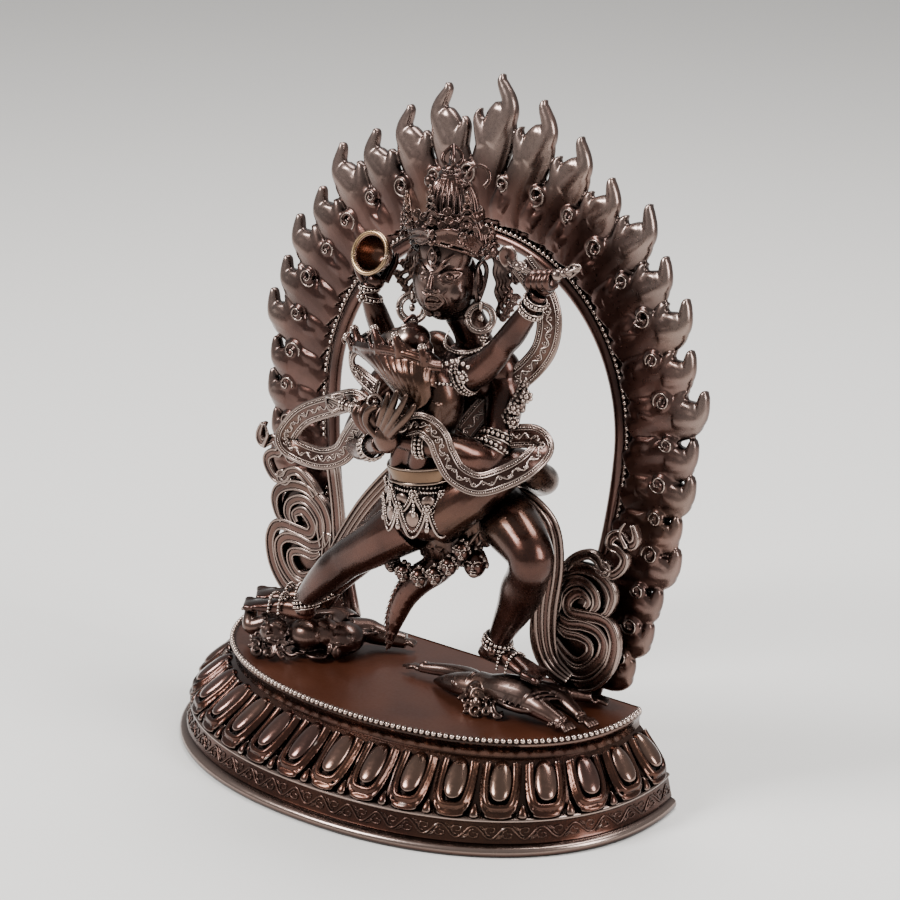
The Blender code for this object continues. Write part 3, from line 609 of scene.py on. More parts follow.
def makeBandVine():
    # a leafy scroll that runs round the recessed band
    bm = bmesh.new()
    waves = 26
    shares = outlineShares(0.8, waves * 24)
    stem = [(*bandPlaceAt(share, 0.5 + 0.36 * sin(2 * pi * i / 24), 0.00005), 0.00030) for i, share in enumerate(shares)][6:-6]
    tube(bm, stem, 1, 6)
    for wave in range(2 * waves):
        side = 1 if wave % 2 == 0 else -1
        middle = wave * 12 + 6
        # a curl in each bend, and three leaf strokes beside it
        curl = []
        for i in range(15):
            turn, spread = side * (pi / 2 - 2.2 * pi * i / 14), 1 - 0.75 * i / 14
            at = clampTo(middle + 5.2 * spread * cos(turn), 0, len(shares) - 1)
            curl.append((*bandPlaceAt(shares[int(at)], 0.5 - side * 0.12 + 0.30 * spread * sin(turn), 0.00005), 0.00024))
        tube(bm, curl, 1, 6)
        for leaf in range(3):
            at = [clampTo(middle + 3.0 + 1.3 * leaf + 1.6 * step, 0, len(shares) - 1) for step in range(3)]
            tube(bm, [(*bandPlaceAt(shares[int(place)], 0.5 - side * (0.10 + 0.13 * step + 0.03 * leaf), 0.00005), 0.00026 - 0.00006 * step)
                      for step, place in enumerate(at)], 2, 6)
    return pieceFrom("bandVine", bm)


def makeBaseBeads():
    bm = bmesh.new()
    shares = outlineShares(0.0, 260)
    route = [outlinePoint(share, -0.035) + Vector((0, 0, topZ)) for share in shares]
    front = [place for place in route if place.y < backY - 0.002]
    beadRow(bm, front, baseLook["beadRadius"], baseLook["beadPitch"])
    return pieceFrom("lotusRimBeads", bm)


def baseRimHighlight(place, normal):
    # painted highlight along the foot rim and the ledge over the band
    foot = easeStep(0.0012, 0.0020, place.z) * (1 - easeStep(0.0029, 0.0033, place.z))
    ledge = easeStep(0.0100, 0.0104, place.z) * (1 - easeStep(0.0112, 0.0116, place.z))
    return 0.40 * max(foot, ledge)


baseBody = makeBaseBody()
paint(baseBody, baseRimHighlight)
finishPiece(baseBody, baseCopper, "base_copper", "lotus_base")
# the trodden plate inside the bead row has its own smooth red-brown finish
baseBody.data.materials.append(plateCopper)
for face in baseBody.data.polygons:
    if face.normal.z > 0.98 and face.center.z > topZ - 0.0006:
        face.material_index = 1
bulbPiece, petalPiece = makePetals()
finishPiece(bulbPiece, bulbCopper, "base_copper", "lotus_base")
finishPiece(petalPiece, baseCopper, "base_copper", "lotus_base")
finishPiece(makeBandVine(), vineCopper, "base_copper", "lotus_base")
finishPiece(makeBaseBeads(), pearlCopper, "base_copper", "lotus_base")

# aureole: arch, bead row, flames

aureoleLook = {
    "flameSpread": 0.0276, "centreHeight": 0.0795, "legDrawIn": 0.0155, "legPower": 1.85, "lean": radians(6.3),
    "plate": 0.0034, "plateInset": 0.0002, "bandInner": 0.0045, "bandOuter": 0.0112, "barRadius": 0.0021,
    "beadRadius": 0.00085, "beadPitch": 0.0020, "flamePairs": 15, "flameRoot": 0.002, "flameHalfWidth": 0.0068,
    "sideways": 0.656, "footLength": 0.0270, "innerLength": 0.0125, "innerHalfWidth": 0.0041, "voxel": 0.00045,
    "keep": 138000,
}
archRadius = baseHigh.x - aureoleLook["flameSpread"]
archCentre = aureoleLook["centreHeight"]
sideLength = (aureoleLook["flameSpread"] - aureoleLook["flameRoot"]) / aureoleLook["sideways"]
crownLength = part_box("aureole")[1].z - topZ - archCentre - archRadius - aureoleLook["flameRoot"]
archReach = archRadius * pi / 2 + archCentre


def onPlate(x, height, forward=0.0):
    middle = backY - aureoleLook["plateInset"] - aureoleLook["plate"] / 2
    return Vector((x, middle + height * tan(aureoleLook["lean"]) - forward, topZ + height))


def archAt(along):
    # the point and outward direction at a distance along the bead line from its crown
    quarter = archRadius * pi / 2
    if abs(along) <= quarter:
        outward = Vector((sin(along / archRadius), cos(along / archRadius)))
        return Vector((0, archCentre)) + outward * archRadius, outward
    down = (abs(along) - quarter) / archCentre
    drawIn, power = aureoleLook["legDrawIn"], aureoleLook["legPower"]
    point = Vector((copysign(archRadius - drawIn * down**power, along), archCentre * (1 - down)))
    slope = drawIn * power * down ** (power - 1)
    return point, Vector((copysign(archCentre, along), -slope)).normalized()


def archRoute(offset, forward, low=0.0, steps=110):
    # places along the arch, from one foot to the other
    reach = archRadius * pi / 2 + archCentre - low
    route = []
    for i in range(steps + 1):
        point, outward = archAt(blendTo(-reach, reach, i / steps))
        place = point + outward * offset
        route.append(onPlate(place.x, place.y, forward))
    return route


def archBar(bm, offset, halfWidth, halfThickness, forward, sides=12, square=1.0):
    route = archRoute(offset, forward, 0.0)
    spindle(bm, [(*place, halfWidth, halfThickness) for place in route], (0, -1, 0), sides, square)


# prongs of a flame: share of its length, offset to the low side as a share of the length, half width as a share of the flame's
flameProngs = (
    ((0.00, 0.00, 1.00), (0.14, 0.00, 1.04), (0.34, 0.01, 1.02), (0.52, 0.02, 1.03), (0.64, 0.02, 0.96), (0.72, 0.005, 0.78), (0.775, -0.005, 0.48),
     (0.81, -0.01, 0.15)),
    ((0.52, 0.02, 0.62), (0.66, 0.06, 0.56), (0.76, 0.09, 0.46), (0.84, 0.08, 0.37), (0.91, 0.045, 0.29), (0.96, 0.03, 0.20), (1.0, 0.05, 0.07)),
    ((0.50, -0.05, 0.55), (0.60, -0.12, 0.42), (0.67, -0.165, 0.28), (0.715, -0.17, 0.15), (0.745, -0.155, 0.05)),
)
smallProngs = (
    ((0.0, 0.0, 0.95), (0.3, 0.0, 1.0), (0.55, -0.06, 0.66), (0.78, -0.10, 0.34), (1.0, -0.02, 0.06)),
    ((0.25, 0.10, 0.55), (0.5, 0.26, 0.40), (0.68, 0.32, 0.22), (0.85, 0.26, 0.05)),
)


def flameSpine(root, direction, length, share):
    up = Vector((0, 1))
    side = Vector((direction.y, -direction.x)) * copysign(1, direction.x + 1e-6)
    place = root + direction * length * share + (up - direction) * length * 0.22 * share**3
    return place - side * length * 0.04 * sin(2 * pi * share), side


def flame(bm, root, direction, length, halfWidth, thick, forward, prongs, sides=16):
    for k, prong in enumerate(prongs):
        route = []
        for share, offset, width in smoothRoute(prong, 4):
            place, side = flameSpine(root, direction, length, share)
            place = place + side * length * offset
            depth = thick * (0.42 + 0.58 * min(1, width / 0.6))
            lift = forward + 0.0006 * sin(pi * min(share, 1)) + (0.0003 if k else 0)
            route.append((*onPlate(place.x, place.y, lift), halfWidth * width, depth))
        spindle(bm, route, (0, -1, 0), sides, 0.9)


def spiralRoute(centre, side, radius, turns, startTurn, forward, thickFrom, thickTo, steps=34):
    route = []
    for i in range(steps + 1):
        share = i / steps
        turn = startTurn + side * 2 * pi * turns * share
        spread = radius * (1 - 0.82 * share)
        place = centre + Vector((cos(turn), sin(turn))) * spread
        route.append((*onPlate(place.x, place.y, forward + 0.0012 * share), blendTo(thickFrom, thickTo, share)))
    return route


def makeAureole():
    look = aureoleLook
    bm, rims = bmesh.new(), bmesh.new()
    middle = (look["bandOuter"] - look["bandInner"]) / 2
    archBar(bm, middle, (look["bandOuter"] + look["bandInner"]) / 2, look["plate"] / 2, 0.0, 12, 0.4)
    pairs, thick = look["flamePairs"], 0.0030
    reach = archReach - 0.1 * archCentre
    for i in range(-pairs, pairs + 1):
        place, outward = archAt(reach * i / pairs)
        direction = (outward + Vector((0, 0.42 * (1 - outward.y)))).normalized()
        length = blendTo(sideLength, look["footLength"], abs(i) / pairs) * (1.06, 0.95, 1.0, 0.92)[i % 4]
        if i == 0:
            length = crownLength
        elif abs(i) == 1:
            length = blendTo(sideLength, crownLength, 0.45)
        root = place + outward * look["flameRoot"]
        flame(bm, root, direction, length, look["flameHalfWidth"], thick, 0.0003 * (i % 2), flameProngs, 18)
        if i == pairs:
            continue
        # the slit to the next flame ends in a rimmed eye or in a curl
        between, outward = archAt(reach * (i + 0.5) / pairs)
        turn = atan2(outward.y, outward.x) + (0.35 if outward.x > 0 else -0.35) * (1 - outward.y)
        away = Vector((cos(turn), sin(turn)))
        across = Vector((-away.y, away.x))
        eye = between + away * (0.0150 + 0.0008 * (i % 3))
        curlSide = copysign(1, i + 0.5) * (1 if i % 4 < 2 else -1)
        curl = spiralRoute(eye, curlSide, 0.0034 if i % 2 else 0.0026, 1.3, turn + pi, 0.0024, 0.0013, 0.0008)
        tube(bm, curl, 1, 10)
        tube(rims, [(x, y - 0.0011, z, radius * 0.30) for x, y, z, radius in curl], 1, 6)
        # small two-pronged flame that rises from the bead row, with a boss
        small = between + outward * 0.003
        lift = (outward + Vector((0, 0.5))).normalized()
        flame(bm, small, lift, look["innerLength"], look["innerHalfWidth"], 0.0015, 0.0017, smallProngs, 14)
        boss, side = flameSpine(small, lift, look["innerLength"], 0.42)
        ball(bm, onPlate(boss.x, boss.y, 0.0030), (0.0013, 0.0008, 0.0018), (0, degrees(atan2(lift.x, lift.y)), 0), 14)
    aureole = pieceFrom("flameAureole", bm)
    melt(aureole, look["voxel"], 1, look["keep"])
    # the lowest flames are cut off level just over the plate
    bm = bmesh.new()
    bm.from_mesh(aureole.data)
    bmesh.ops.bisect_plane(bm, geom=bm.verts[:] + bm.edges[:] + bm.faces[:], dist=1e-7, plane_co=(0, 0, topZ + seam),
                           plane_no=(0, 0, 1), clear_inner=True)
    bmesh.ops.holes_fill(bm, edges=[edge for edge in bm.edges if edge.is_boundary])
    bm.to_mesh(aureole.data)
    bm.free()
    return aureole, pieceFrom("flameRims", rims)


def awayFromBeads(place):
    # distance of a place outside the bead line, in metres
    x, height = place.x, place.z - topZ
    if height > archCentre:
        return hypot(x, height - archCentre) - archRadius
    down = clampTo(1 - height / archCentre)
    return abs(x) - (archRadius - aureoleLook["legDrawIn"] * down ** aureoleLook["legPower"])


def flameFrontHighlight(place, normal):
    # painted highlight on the outer parts of the flames, on faces that turn towards the front
    return 0.34 * easeStep(0.014, 0.032, awayFromBeads(place)) * clampTo(0.35 - normal.y)


def makeArchTrim():
    look = aureoleLook
    bar, beads = bmesh.new(), bmesh.new()
    inward = look["barRadius"] - look["bandInner"] - 0.0008
    archBar(bar, inward, look["barRadius"], look["barRadius"], 0.0006, 20)
    archBar(bar, inward + 0.0027, 0.0004, 0.0004, 0.0017, 8)
    beadRow(beads, archRoute(0, look["plate"] / 2 + 0.0001, look["beadRadius"]), look["beadRadius"], look["beadPitch"])
    return pieceFrom("archBar", bar), pieceFrom("archBeads", beads)


aureole, flameRims = makeAureole()
paint(aureole, flameFrontHighlight)
finishPiece(aureole, flameCopper, "flame_copper", "aureole")
# the flame rims carry an even painted highlight
paint(flameRims, lambda place, normal: 0.22)
finishPiece(flameRims, flameCopper, "flame_copper", "aureole")
for trim, finish in zip(makeArchTrim(), (flameCopper, pearlCopper)):
    finishPiece(trim, finish, "flame_copper", "aureole")

# helpers for the figures: every place and size is in figure units

toViewer = (0.5, -0.8, 0.3)


def cord(bm, points, radius, endRadius=None, steps=5, sides=8):
    # a round cord through the points, which can thin towards its end
    route = smoothRoute(points, steps)
    last = max(len(route) - 1, 1)
    end = radius if endRadius is None else endRadius
    sized = [(*point[:3], blendTo(radius, end, i / last)) for i, point in enumerate(route)]
    spindle(bm, [(*point, point[3]) for point in onFigure(sized)], None, sides)


def beside(route, facing, across, out):
    # a route moved across and out from another, in the same units
    return [tuple(matrix @ Vector((across, out, 0))) for matrix in routeFrames(route, facing)]


def ringRoute(centre, axis, radius, count=24, squash=1.0, start=0.0, share=1.0):
    # points round an axis, the first one repeated at the end of a whole ring
    axis = Vector(axis).normalized()
    first = axis.cross(Vector((0, 0, 1)) if abs(axis.z) < 0.9 else Vector((1, 0, 0))).normalized()
    second = axis.cross(first)
    points = []
    for i in range(count + 1):
        turn = start + 2 * pi * share * i / count
        points.append(tuple(Vector(centre) + first * radius * cos(turn) + second * radius * squash * sin(turn)))
    return points


def pearls(bm, route, radius, pitch=None, closed=False, segments=8):
    pitch = (pitch or radius * 2.05) * unit
    for place in evenPoints(onFigure(route), pitch, closed):
        ball(bm, place, [radius * unit] * 3, segments=segments)


def bangle(bm, centre, axis, radius, pearl, rows=2, squash=1.0):
    # rows of pearls round a limb, with a plain wire at each side
    axis = Vector(axis).normalized()
    for row in range(rows):
        middle = Vector(centre) + axis * (row - (rows - 1) / 2) * pearl * 2.2
        pearls(bm, ringRoute(middle, axis, radius, 24, squash)[:-1], pearl, closed=True)
    for side in (-1, 1):
        middle = Vector(centre) + axis * side * (rows / 2 * pearl * 2.2 + pearl * 0.4)
        cord(bm, ringRoute(middle, axis, radius - pearl * 0.2, 20, squash), pearl * 0.45, steps=1, sides=6)


def rosette(bm, centre, facing, radius, petals=6):
    # a round boss inside a ring of petals
    out = Vector(facing).normalized()
    middle = Vector(centre)
    for place in ringRoute(middle, out, radius * 0.68, petals)[:-1]:
        lump(bm, place, [radius * 0.36] * 3, segments=8)
    lump(bm, tuple(middle + out * radius * 0.25), [radius * 0.45] * 3, segments=10)


def spiral(centre, axis, radius, turns, start=0.0, rise=0.0, steps=26, inner=0.15):
    # a flat curl about an axis, from its outside to its middle
    axis = Vector(axis).normalized()
    first = axis.cross(Vector((0, 0, 1)) if abs(axis.z) < 0.9 else Vector((1, 0, 0))).normalized()
    second = axis.cross(first)
    points = []
    for i in range(steps + 1):
        share = i / steps
        turn, reach = start + 2 * pi * turns * share, radius * blendTo(1, inner, share)
        points.append(tuple(Vector(centre) + first * reach * cos(turn) + second * reach * sin(turn) + axis * rise * share))
    return points

# figures: bodies

figureLook = {"bodyVoxel": 0.00042, "bodyKeep": 55000}
copperSlot = "figure_copper"


def footForm(bm, heel, toe, halfWidth):
    # a flat-soled foot with its toes side by side; heel and toe are points of the sole
    heel, toe = Vector(heel), Vector(toe)
    across = Vector((heel.y - toe.y, toe.x - heel.x, 0)).normalized()
    route = []
    for share, wide, thick in ((-0.05, 0.45, 1.5), (0.02, 0.72, 2.6), (0.12, 0.80, 3.1), (0.35, 0.80, 3.0), (0.6, 1.0, 2.2),
                               (0.80, 0.98, 1.5), (0.88, 0.85, 1.2)):
        middle = heel.lerp(toe, share)
        route.append((middle.x, middle.y, middle.z + thick, halfWidth * wide, thick))
    spindle(bm, onFigure(smoothRoute(route, 4)), (0, 0, 1), 20)
    for k in range(5):
        offset = across * halfWidth * (k - 2) / 2.5
        big = 1.28 if k == 0 else 1.0
        start = heel.lerp(toe, 0.74) + offset + Vector((0, 0, 1.5))
        tip = heel.lerp(toe, 1.0 - 0.028 * k) + offset * 1.12 + Vector((0, 0, 1.15))
        limb(bm, (*start, 1.3 * big), (*start.lerp(tip, 0.45), 1.0 * big), (*start.lerp(tip, 0.75), 1.12 * big),
             (*tip, 0.75 * big), steps=4, sides=12)


def makeHisBody():
    bm = bmesh.new()
    lump(bm, (17, 1, 53), (12.5, 10, 9.5))
    limb(bm, (17, 1, 52, 10.5), (18, 2, 61, 9.6), (19, 2, 69, 8.8), (20, 2, 75, 9.6), (21, 1, 86, 11.5), (21.5, 0, 96, 10),
         (22, 0, 101, 6.5), sides=28)
    lump(bm, (20, 1, 90), (14.5, 9, 9))
    # chest, shoulder caps and neck
    lump(bm, (14.5, -4.5, 91), (7.5, 5.5, 6.0), (0, 0, 8))
    lump(bm, (27, -4.5, 91), (7.0, 5.5, 6.0), (0, 0, -8))
    lump(bm, (32, -1, 95.5), (6.4, 6.2, 6.4))
    lump(bm, (6.5, -1, 96.5), (6.4, 6.2, 6.2))
    limb(bm, (22, 0, 99, 6.4), (21, -2, 106, 5.4), (19, -4, 112, 5.6), sides=24)
    # his left arm reaches round her
    limb(bm, (29, 0, 95, 6.8), (34, -2, 89, 6.4), (36, -5, 83, 5.8), (37.5, -9, 77, 5.0), (37, -14, 71.4, 5.0),
         (35, -19, 73, 5.2), (31.5, -25, 76.5, 4.4), (28, -30, 78, 3.8), (21, -32.5, 78.3, 3.0), (15, -33.5, 79, 2.9),
         sides=24)
    # his right arm crosses in front
    limb(bm, (8, 0, 97, 6.6), (1, -1, 92, 6.4), (-6, -3, 88, 6.0), (-12, -7, 81, 5.2), (-13.5, -12, 73, 4.8),
         (-11.5, -17.5, 69, 5.0), (-5, -24, 69, 4.5), (2, -29.5, 71, 3.7), (9, -34, 74.5, 2.9), (14, -36.5, 77, 2.9), sides=24)
    # his left leg is bent
    limb(bm, (24, 0, 52, 9.4), (33, -4, 51, 9.8), (44, -9, 48.5, 9.0), (52.5, -13, 45.0, 7.6), (54.5, -14, 41.5, 7.1),
         (52, -12.5, 36, 6.6), (48.5, -10.5, 30, 6.9), (44.5, -8.5, 23, 6.0), (40, -7, 16, 4.7), (36.5, -6, 10, 3.8),
         (33.5, -5, 4, 3.9), sides=26)
    lump(bm, (55.5, -15.5, 43.5), (5.4, 5.2, 5.6))
    footForm(bm, (29, -4.2, 0), (56, -7.5, 0), 4.2)
    # his right leg is straight
    limb(bm, (8, 2, 51, 9.6), (0, 0.5, 46, 9.2), (-7, -1, 40, 8.5), (-14.5, -3, 32, 7.2), (-18.5, -4, 27.5, 6.6),
         (-23, -5.5, 22, 6.4), (-27.5, -6.5, 16.5, 5.4), (-32, -7.5, 10.5, 4.2), (-35, -8, 5, 3.7), sides=26)
    lump(bm, (-16.5, -6.5, 30.5), (5.2, 4.4, 5.8), (0, -45, 0))
    footForm(bm, (-34, -7.5, 1.2), (-61, -14.5, 1.6), 4.0)
    for ankle in ((36, -9.6, 5.5), (-35.5, -11.4, 6.0)):
        lump(bm, ankle, (1.5, 1.5, 1.8), segments=14)
    return meltBody("hisBody", bm)


def makeHerBody():
    bm = bmesh.new()
    lump(bm, (18.5, -21, 52), (10.8, 8.6, 9.5))
    limb(bm, (18, -20, 49, 9.5), (18, -21, 56, 9.2), (16.5, -22, 65, 7.4), (17.5, -22, 70, 7.2), (21, -22, 81, 8.5),
         (24, -21.5, 90, 8.2), (23, -22.5, 96.5, 5.6), (17, -22.5, 101, 4.4), sides=28)
    # her back's furrow lies between two soft ridges
    for side in (-1, 1):
        limb(bm, (16 + side * 3.4, -26.5, 62, 3.2), (18 + side * 3.6, -27.2, 72, 3.4), (22 + side * 3.6, -27.5, 84, 3.6),
             (24 + side * 3.2, -26.5, 91, 3.0))
    # her right arm lifts the knife, her left arm the cup
    limb(bm, (25, -19, 94, 5.6), (30, -17, 96.5, 5.2), (36, -16, 100, 4.9), (41, -15.4, 105, 4.3), (44, -15, 109, 3.9),
         (47.5, -15, 113, 4.0), (51.5, -15, 118.5, 3.5), (55, -15, 123.4, 2.8), (57.5, -15, 127.5, 2.6), sides=22)
    limb(bm, (17, -19, 95.5, 5.2), (8, -16, 95.5, 5.0), (1, -13, 96.5, 4.7), (-4.5, -11, 98.6, 4.2), (-6.5, -11.3, 103, 3.9),
         (-8, -12.8, 109, 3.6), (-9.5, -14, 115, 2.7), (-9.4, -13.4, 118, 2.6), sides=22)
    # her left leg lies along his, her right leg goes round his hip
    limb(bm, (12, -20, 46, 8.8), (5.5, -21.4, 41.5, 8.2), (-2, -22, 36, 7.3), (-9.5, -22, 31, 6.6), (-13.5, -22, 28, 6.2),
         (-18, -22.2, 24, 6.0), (-23.5, -22, 18.6, 5.2), (-28.5, -21.5, 13.5, 4.2), (-31.5, -21, 9.5, 3.5),
         (-32, -20.5, 5.5, 3.3), sides=24)
    footForm(bm, (-31, -20, 1.8), (-57.5, -24, 1.8), 3.4)
    limb(bm, (22, -20, 50, 9.0), (28, -18.8, 55, 8.6), (34, -17, 60, 7.9), (38.5, -12, 65, 7.0), (41.4, -7, 67.5, 6.0),
         (42.6, -2, 66.5, 5.0), (43, 4, 62, 4.7), (42, 8.6, 59, 4.6), (38, 11, 56, 3.8), (33, 12.4, 54, 3.2), (29, 13, 53, 3.0),
         sides=24)
    return meltBody("herBody", bm)


def meltBody(name, bm):
    piece = pieceFrom(name, bm)
    melt(piece, figureLook["bodyVoxel"], 3, figureLook["bodyKeep"])
    return piece


for body in (makeHisBody(), makeHerBody()):
    finishPiece(body, figureCopper, copperSlot, "figure_pair")

# his head: wrathful face, crown, topknot, ears and locks

hisHeadLook = {
    "centre": (16.8, -8.0, 123.5), "turn": radians(10), "voxel": 0.00023, "keep": 106000,
    "bandWidth": 10.9, "bandDepth": 10.8, "bandFront": 136.8, "bandDrop": 6.4, "strands": 24,
}



def onHead(right, height, forward):
    # figure units: right as the photograph shows it, up, and out of the face
    turn = hisHeadLook["turn"]
    x, y, z = hisHeadLook["centre"]
    return (x + right * cos(turn) + forward * sin(turn), y + right * sin(turn) - forward * cos(turn), z + height)


def faceCord(bm, radius, endRadius, *places, side=1, steps=5, sides=10):
    cord(bm, [onHead(right * side, height, forward) for right, height, forward in places], radius, endRadius, steps, sides)


def faceLump(bm, place, radii, turn=(0, 0, 0), segments=20):
    lump(bm, onHead(*place), radii, (turn[0], turn[1], turn[2] + degrees(hisHeadLook["turn"])), segments)


# lines of the face: radius at the start, radius at the end, places
faceLines = (
    # third eye
    (0.42, 0.36, ((18.2, -17.2, 135.7), (17.0, -17.5, 133.4), (16.6, -17.7, 131.6), (17.6, -18.0, 130.1), (18.7, -18.1, 129.2))),
    (0.42, 0.36, ((18.2, -17.2, 135.7), (19.6, -17.4, 133.9), (20.2, -17.5, 132.2), (19.7, -17.8, 130.5), (18.7, -18.1, 129.2))),
    # brows
    (0.34, 0.55, ((11.4, -15.6, 129.9), (15.0, -17.8, 128.8), (17.0, -18.2, 127.4))),
    (0.62, 0.34, ((19.4, -17.8, 127.5), (21.0, -17.3, 129.3), (22.6, -16.4, 131.5), (24.7, -14.0, 133.5))),
    (0.34, 0.26, ((20.4, -17.5, 127.6), (21.9, -16.8, 129.1), (23.8, -15.6, 130.8))),
    # lids
    (0.42, 0.30, ((20.9, -17.3, 125.8), (21.5, -16.4, 127.2), (22.9, -14.8, 128.0), (24.2, -13.1, 127.7), (25.3, -10.9, 127.0))),
    (0.42, 0.30, ((20.9, -17.3, 125.8), (22.2, -16.8, 124.6), (23.7, -15.4, 124.6), (24.7, -13.7, 125.5), (25.3, -10.9, 127.0))),
    (0.32, 0.26, ((13.9, -18.0, 126.2), (14.5, -17.7, 127.6), (16.2, -18.1, 127.3))),
    (0.32, 0.26, ((13.9, -18.0, 126.2), (15.5, -18.7, 124.9), (16.9, -18.6, 125.6))),
    # nose
    (0.75, 1.25, ((18.7, -18.1, 126.4), (18.8, -18.9, 124.4), (18.9, -19.6, 122.6))),
    # moustache, lips and the folds beside the mouth
    (0.42, 0.28, ((19.2, -18.8, 121.0), (17.1, -19.0, 120.5), (15.7, -18.9, 121.1))),
    (0.42, 0.28, ((19.4, -18.7, 121.0), (21.7, -17.5, 121.2), (23.2, -16.3, 122.4))),
    (0.55, 0.50, ((16.7, -18.1, 117.8), (17.5, -18.8, 119.8), (19.2, -18.7, 120.8), (21.0, -17.8, 120.4), (22.1, -16.4, 118.4))),
    (0.70, 0.60, ((16.7, -18.1, 117.8), (17.3, -17.6, 116.0), (19.6, -17.0, 116.0), (22.1, -16.4, 118.4))),
    (0.60, 0.40, ((21.1, -17.6, 121.8), (22.7, -16.2, 119.7), (22.5, -15.3, 117.1), (19.9, -14.6, 113.9))),
)


def makeFace(bm):
    # a round smooth face on which the features are carved small and crisp
    lump(bm, (16.5, -8.5, 122.3), (9.9, 10.4, 12.0), segments=56)
    lump(bm, (17.3, -10.6, 115.6), (5.2, 5.4, 4.8), segments=36)
    lump(bm, (22.8, -11.6, 121.0), (3.9, 4.0, 3.9), segments=28)
    faceLump(bm, (0, 8.5, 1.5), (9.0, 6.5, 8.3), segments=40)
    for radius, endRadius, places in faceLines:
        cord(bm, places, radius, endRadius, 5, 10)
    for place, radii in (((18.5, -17.2, 132.2), (0.95, 0.85, 1.7)), ((23.2, -15.0, 126.3), (1.6, 1.2, 1.15)), ((23.3, -16.0, 126.3), (0.55, 0.45, 0.55)),
                         ((15.3, -17.9, 126.3), (1.15, 1.0, 1.0)), ((18.6, -17.7, 127.0), (0.75, 0.8, 0.8)), ((17.6, -18.7, 122.1), (1.05, 1.0, 0.8)),
                         ((20.4, -18.1, 122.1), (1.05, 1.0, 0.8)), ((15.9, -15.5, 113.4), (1.15, 1.1, 1.0)), ((19.0, -15.6, 113.9), (1.15, 1.1, 1.0))):
        lump(bm, place, radii, segments=18)
    for x, y, z in ((17.9, -18.5, 119.0), (18.9, -18.4, 119.3), (19.8, -18.1, 119.3), (20.7, -17.7, 119.0), (18.0, -17.9, 117.1), (19.0, -17.7, 117.1),
                    (20.0, -17.4, 117.3)):
        lump(bm, (x, y, z), (0.48, 0.42, 0.60), segments=10)
    for side in (-1, 1):
        # ear with its rolled edge
        ear = [(9.9, 5.0, -1.4), (10.6, 5.6, -3.0), (11.2, 3.0, -4.2), (11.0, -1.0, -3.4), (10.4, -4.8, -1.8), (10.0, -6.4, -0.6),
               (9.8, -3.0, 0.2), (9.7, 1.5, -0.6), (9.9, 5.0, -1.4)]
        faceCord(bm, 0.8, 0.8, *ear, side=side, steps=4)
        faceLump(bm, (9.9 * side, 0, -1.6), (1.2, 2.0, 4.8), (8, 0, 0))


def bandPlace(angle, lift=0.0, reach=0.0):
    # on the crown's band; angle 0 is over the nose and 90 degrees over the ear on the right
    look = hisHeadLook
    low = look["bandFront"] - look["bandDrop"] * (1 - clampTo(cos(radians(angle)))) - look["centre"][2]
    return onHead((look["bandWidth"] + reach) * sin(radians(angle)), low + lift,
                  (look["bandDepth"] + reach) * cos(radians(angle)) - 0.6)


def crownLeaf(bm, base, tip, out, size):
    # a slim jewelled leaf: a ringed boss, two curls, and arcs stacked to a point
    base, tip, out = Vector(base), Vector(tip), Vector(out).normalized()
    along = (tip - base).normalized()
    across = out.cross(along).normalized()
    length = (tip - base).length

    def spot(side, share, lift=0.0):
        return tuple(base + along * length * share + across * side * size + out * lift)

    wide = [(*spot(0, share, -0.3), size * width, 0.7)
            for share, width in smoothRoute(((0, 0.75), (0.2, 0.95), (0.45, 0.75), (0.7, 0.48), (1.0, 0.12)), 3)]
    spindle(bm, onFigure(wide), tuple(out), 14, 0.8)
    cord(bm, ringRoute(spot(0, 0.20, 0.8), out, size * 0.55, 14), 0.42, steps=1, sides=8)
    lump(bm, spot(0, 0.20, 1.0), (0.85, 0.85, 0.85), segments=12)
    for share, reach in ((0.42, 0.80), (0.58, 0.66), (0.73, 0.50)):
        arc = [spot(-reach, share - 0.05, 0.4), spot(-reach * 0.6, share + 0.03, 0.9), spot(0, share + 0.06, 1.1),
               spot(reach * 0.6, share + 0.03, 0.9), spot(reach, share - 0.05, 0.4)]
        cord(bm, arc, 0.46, steps=3, sides=8)
    lump(bm, spot(0, 0.90, 0.4), (0.8, 0.8, 1.0), segments=12)
    lump(bm, spot(0, 1.02, 0.2), (0.55, 0.55, 0.8), segments=10)
    for side in (-1, 1):
        cord(bm, spiral(spot(side * 1.05, 0.10, 0.5), out, size * 0.42, side * 1.2, 0, steps=16), 0.46, 0.34, 1, 8)
        lump(bm, spot(side * 0.95, 0.34, 0.4), (0.6, 0.6, 0.6), segments=10)


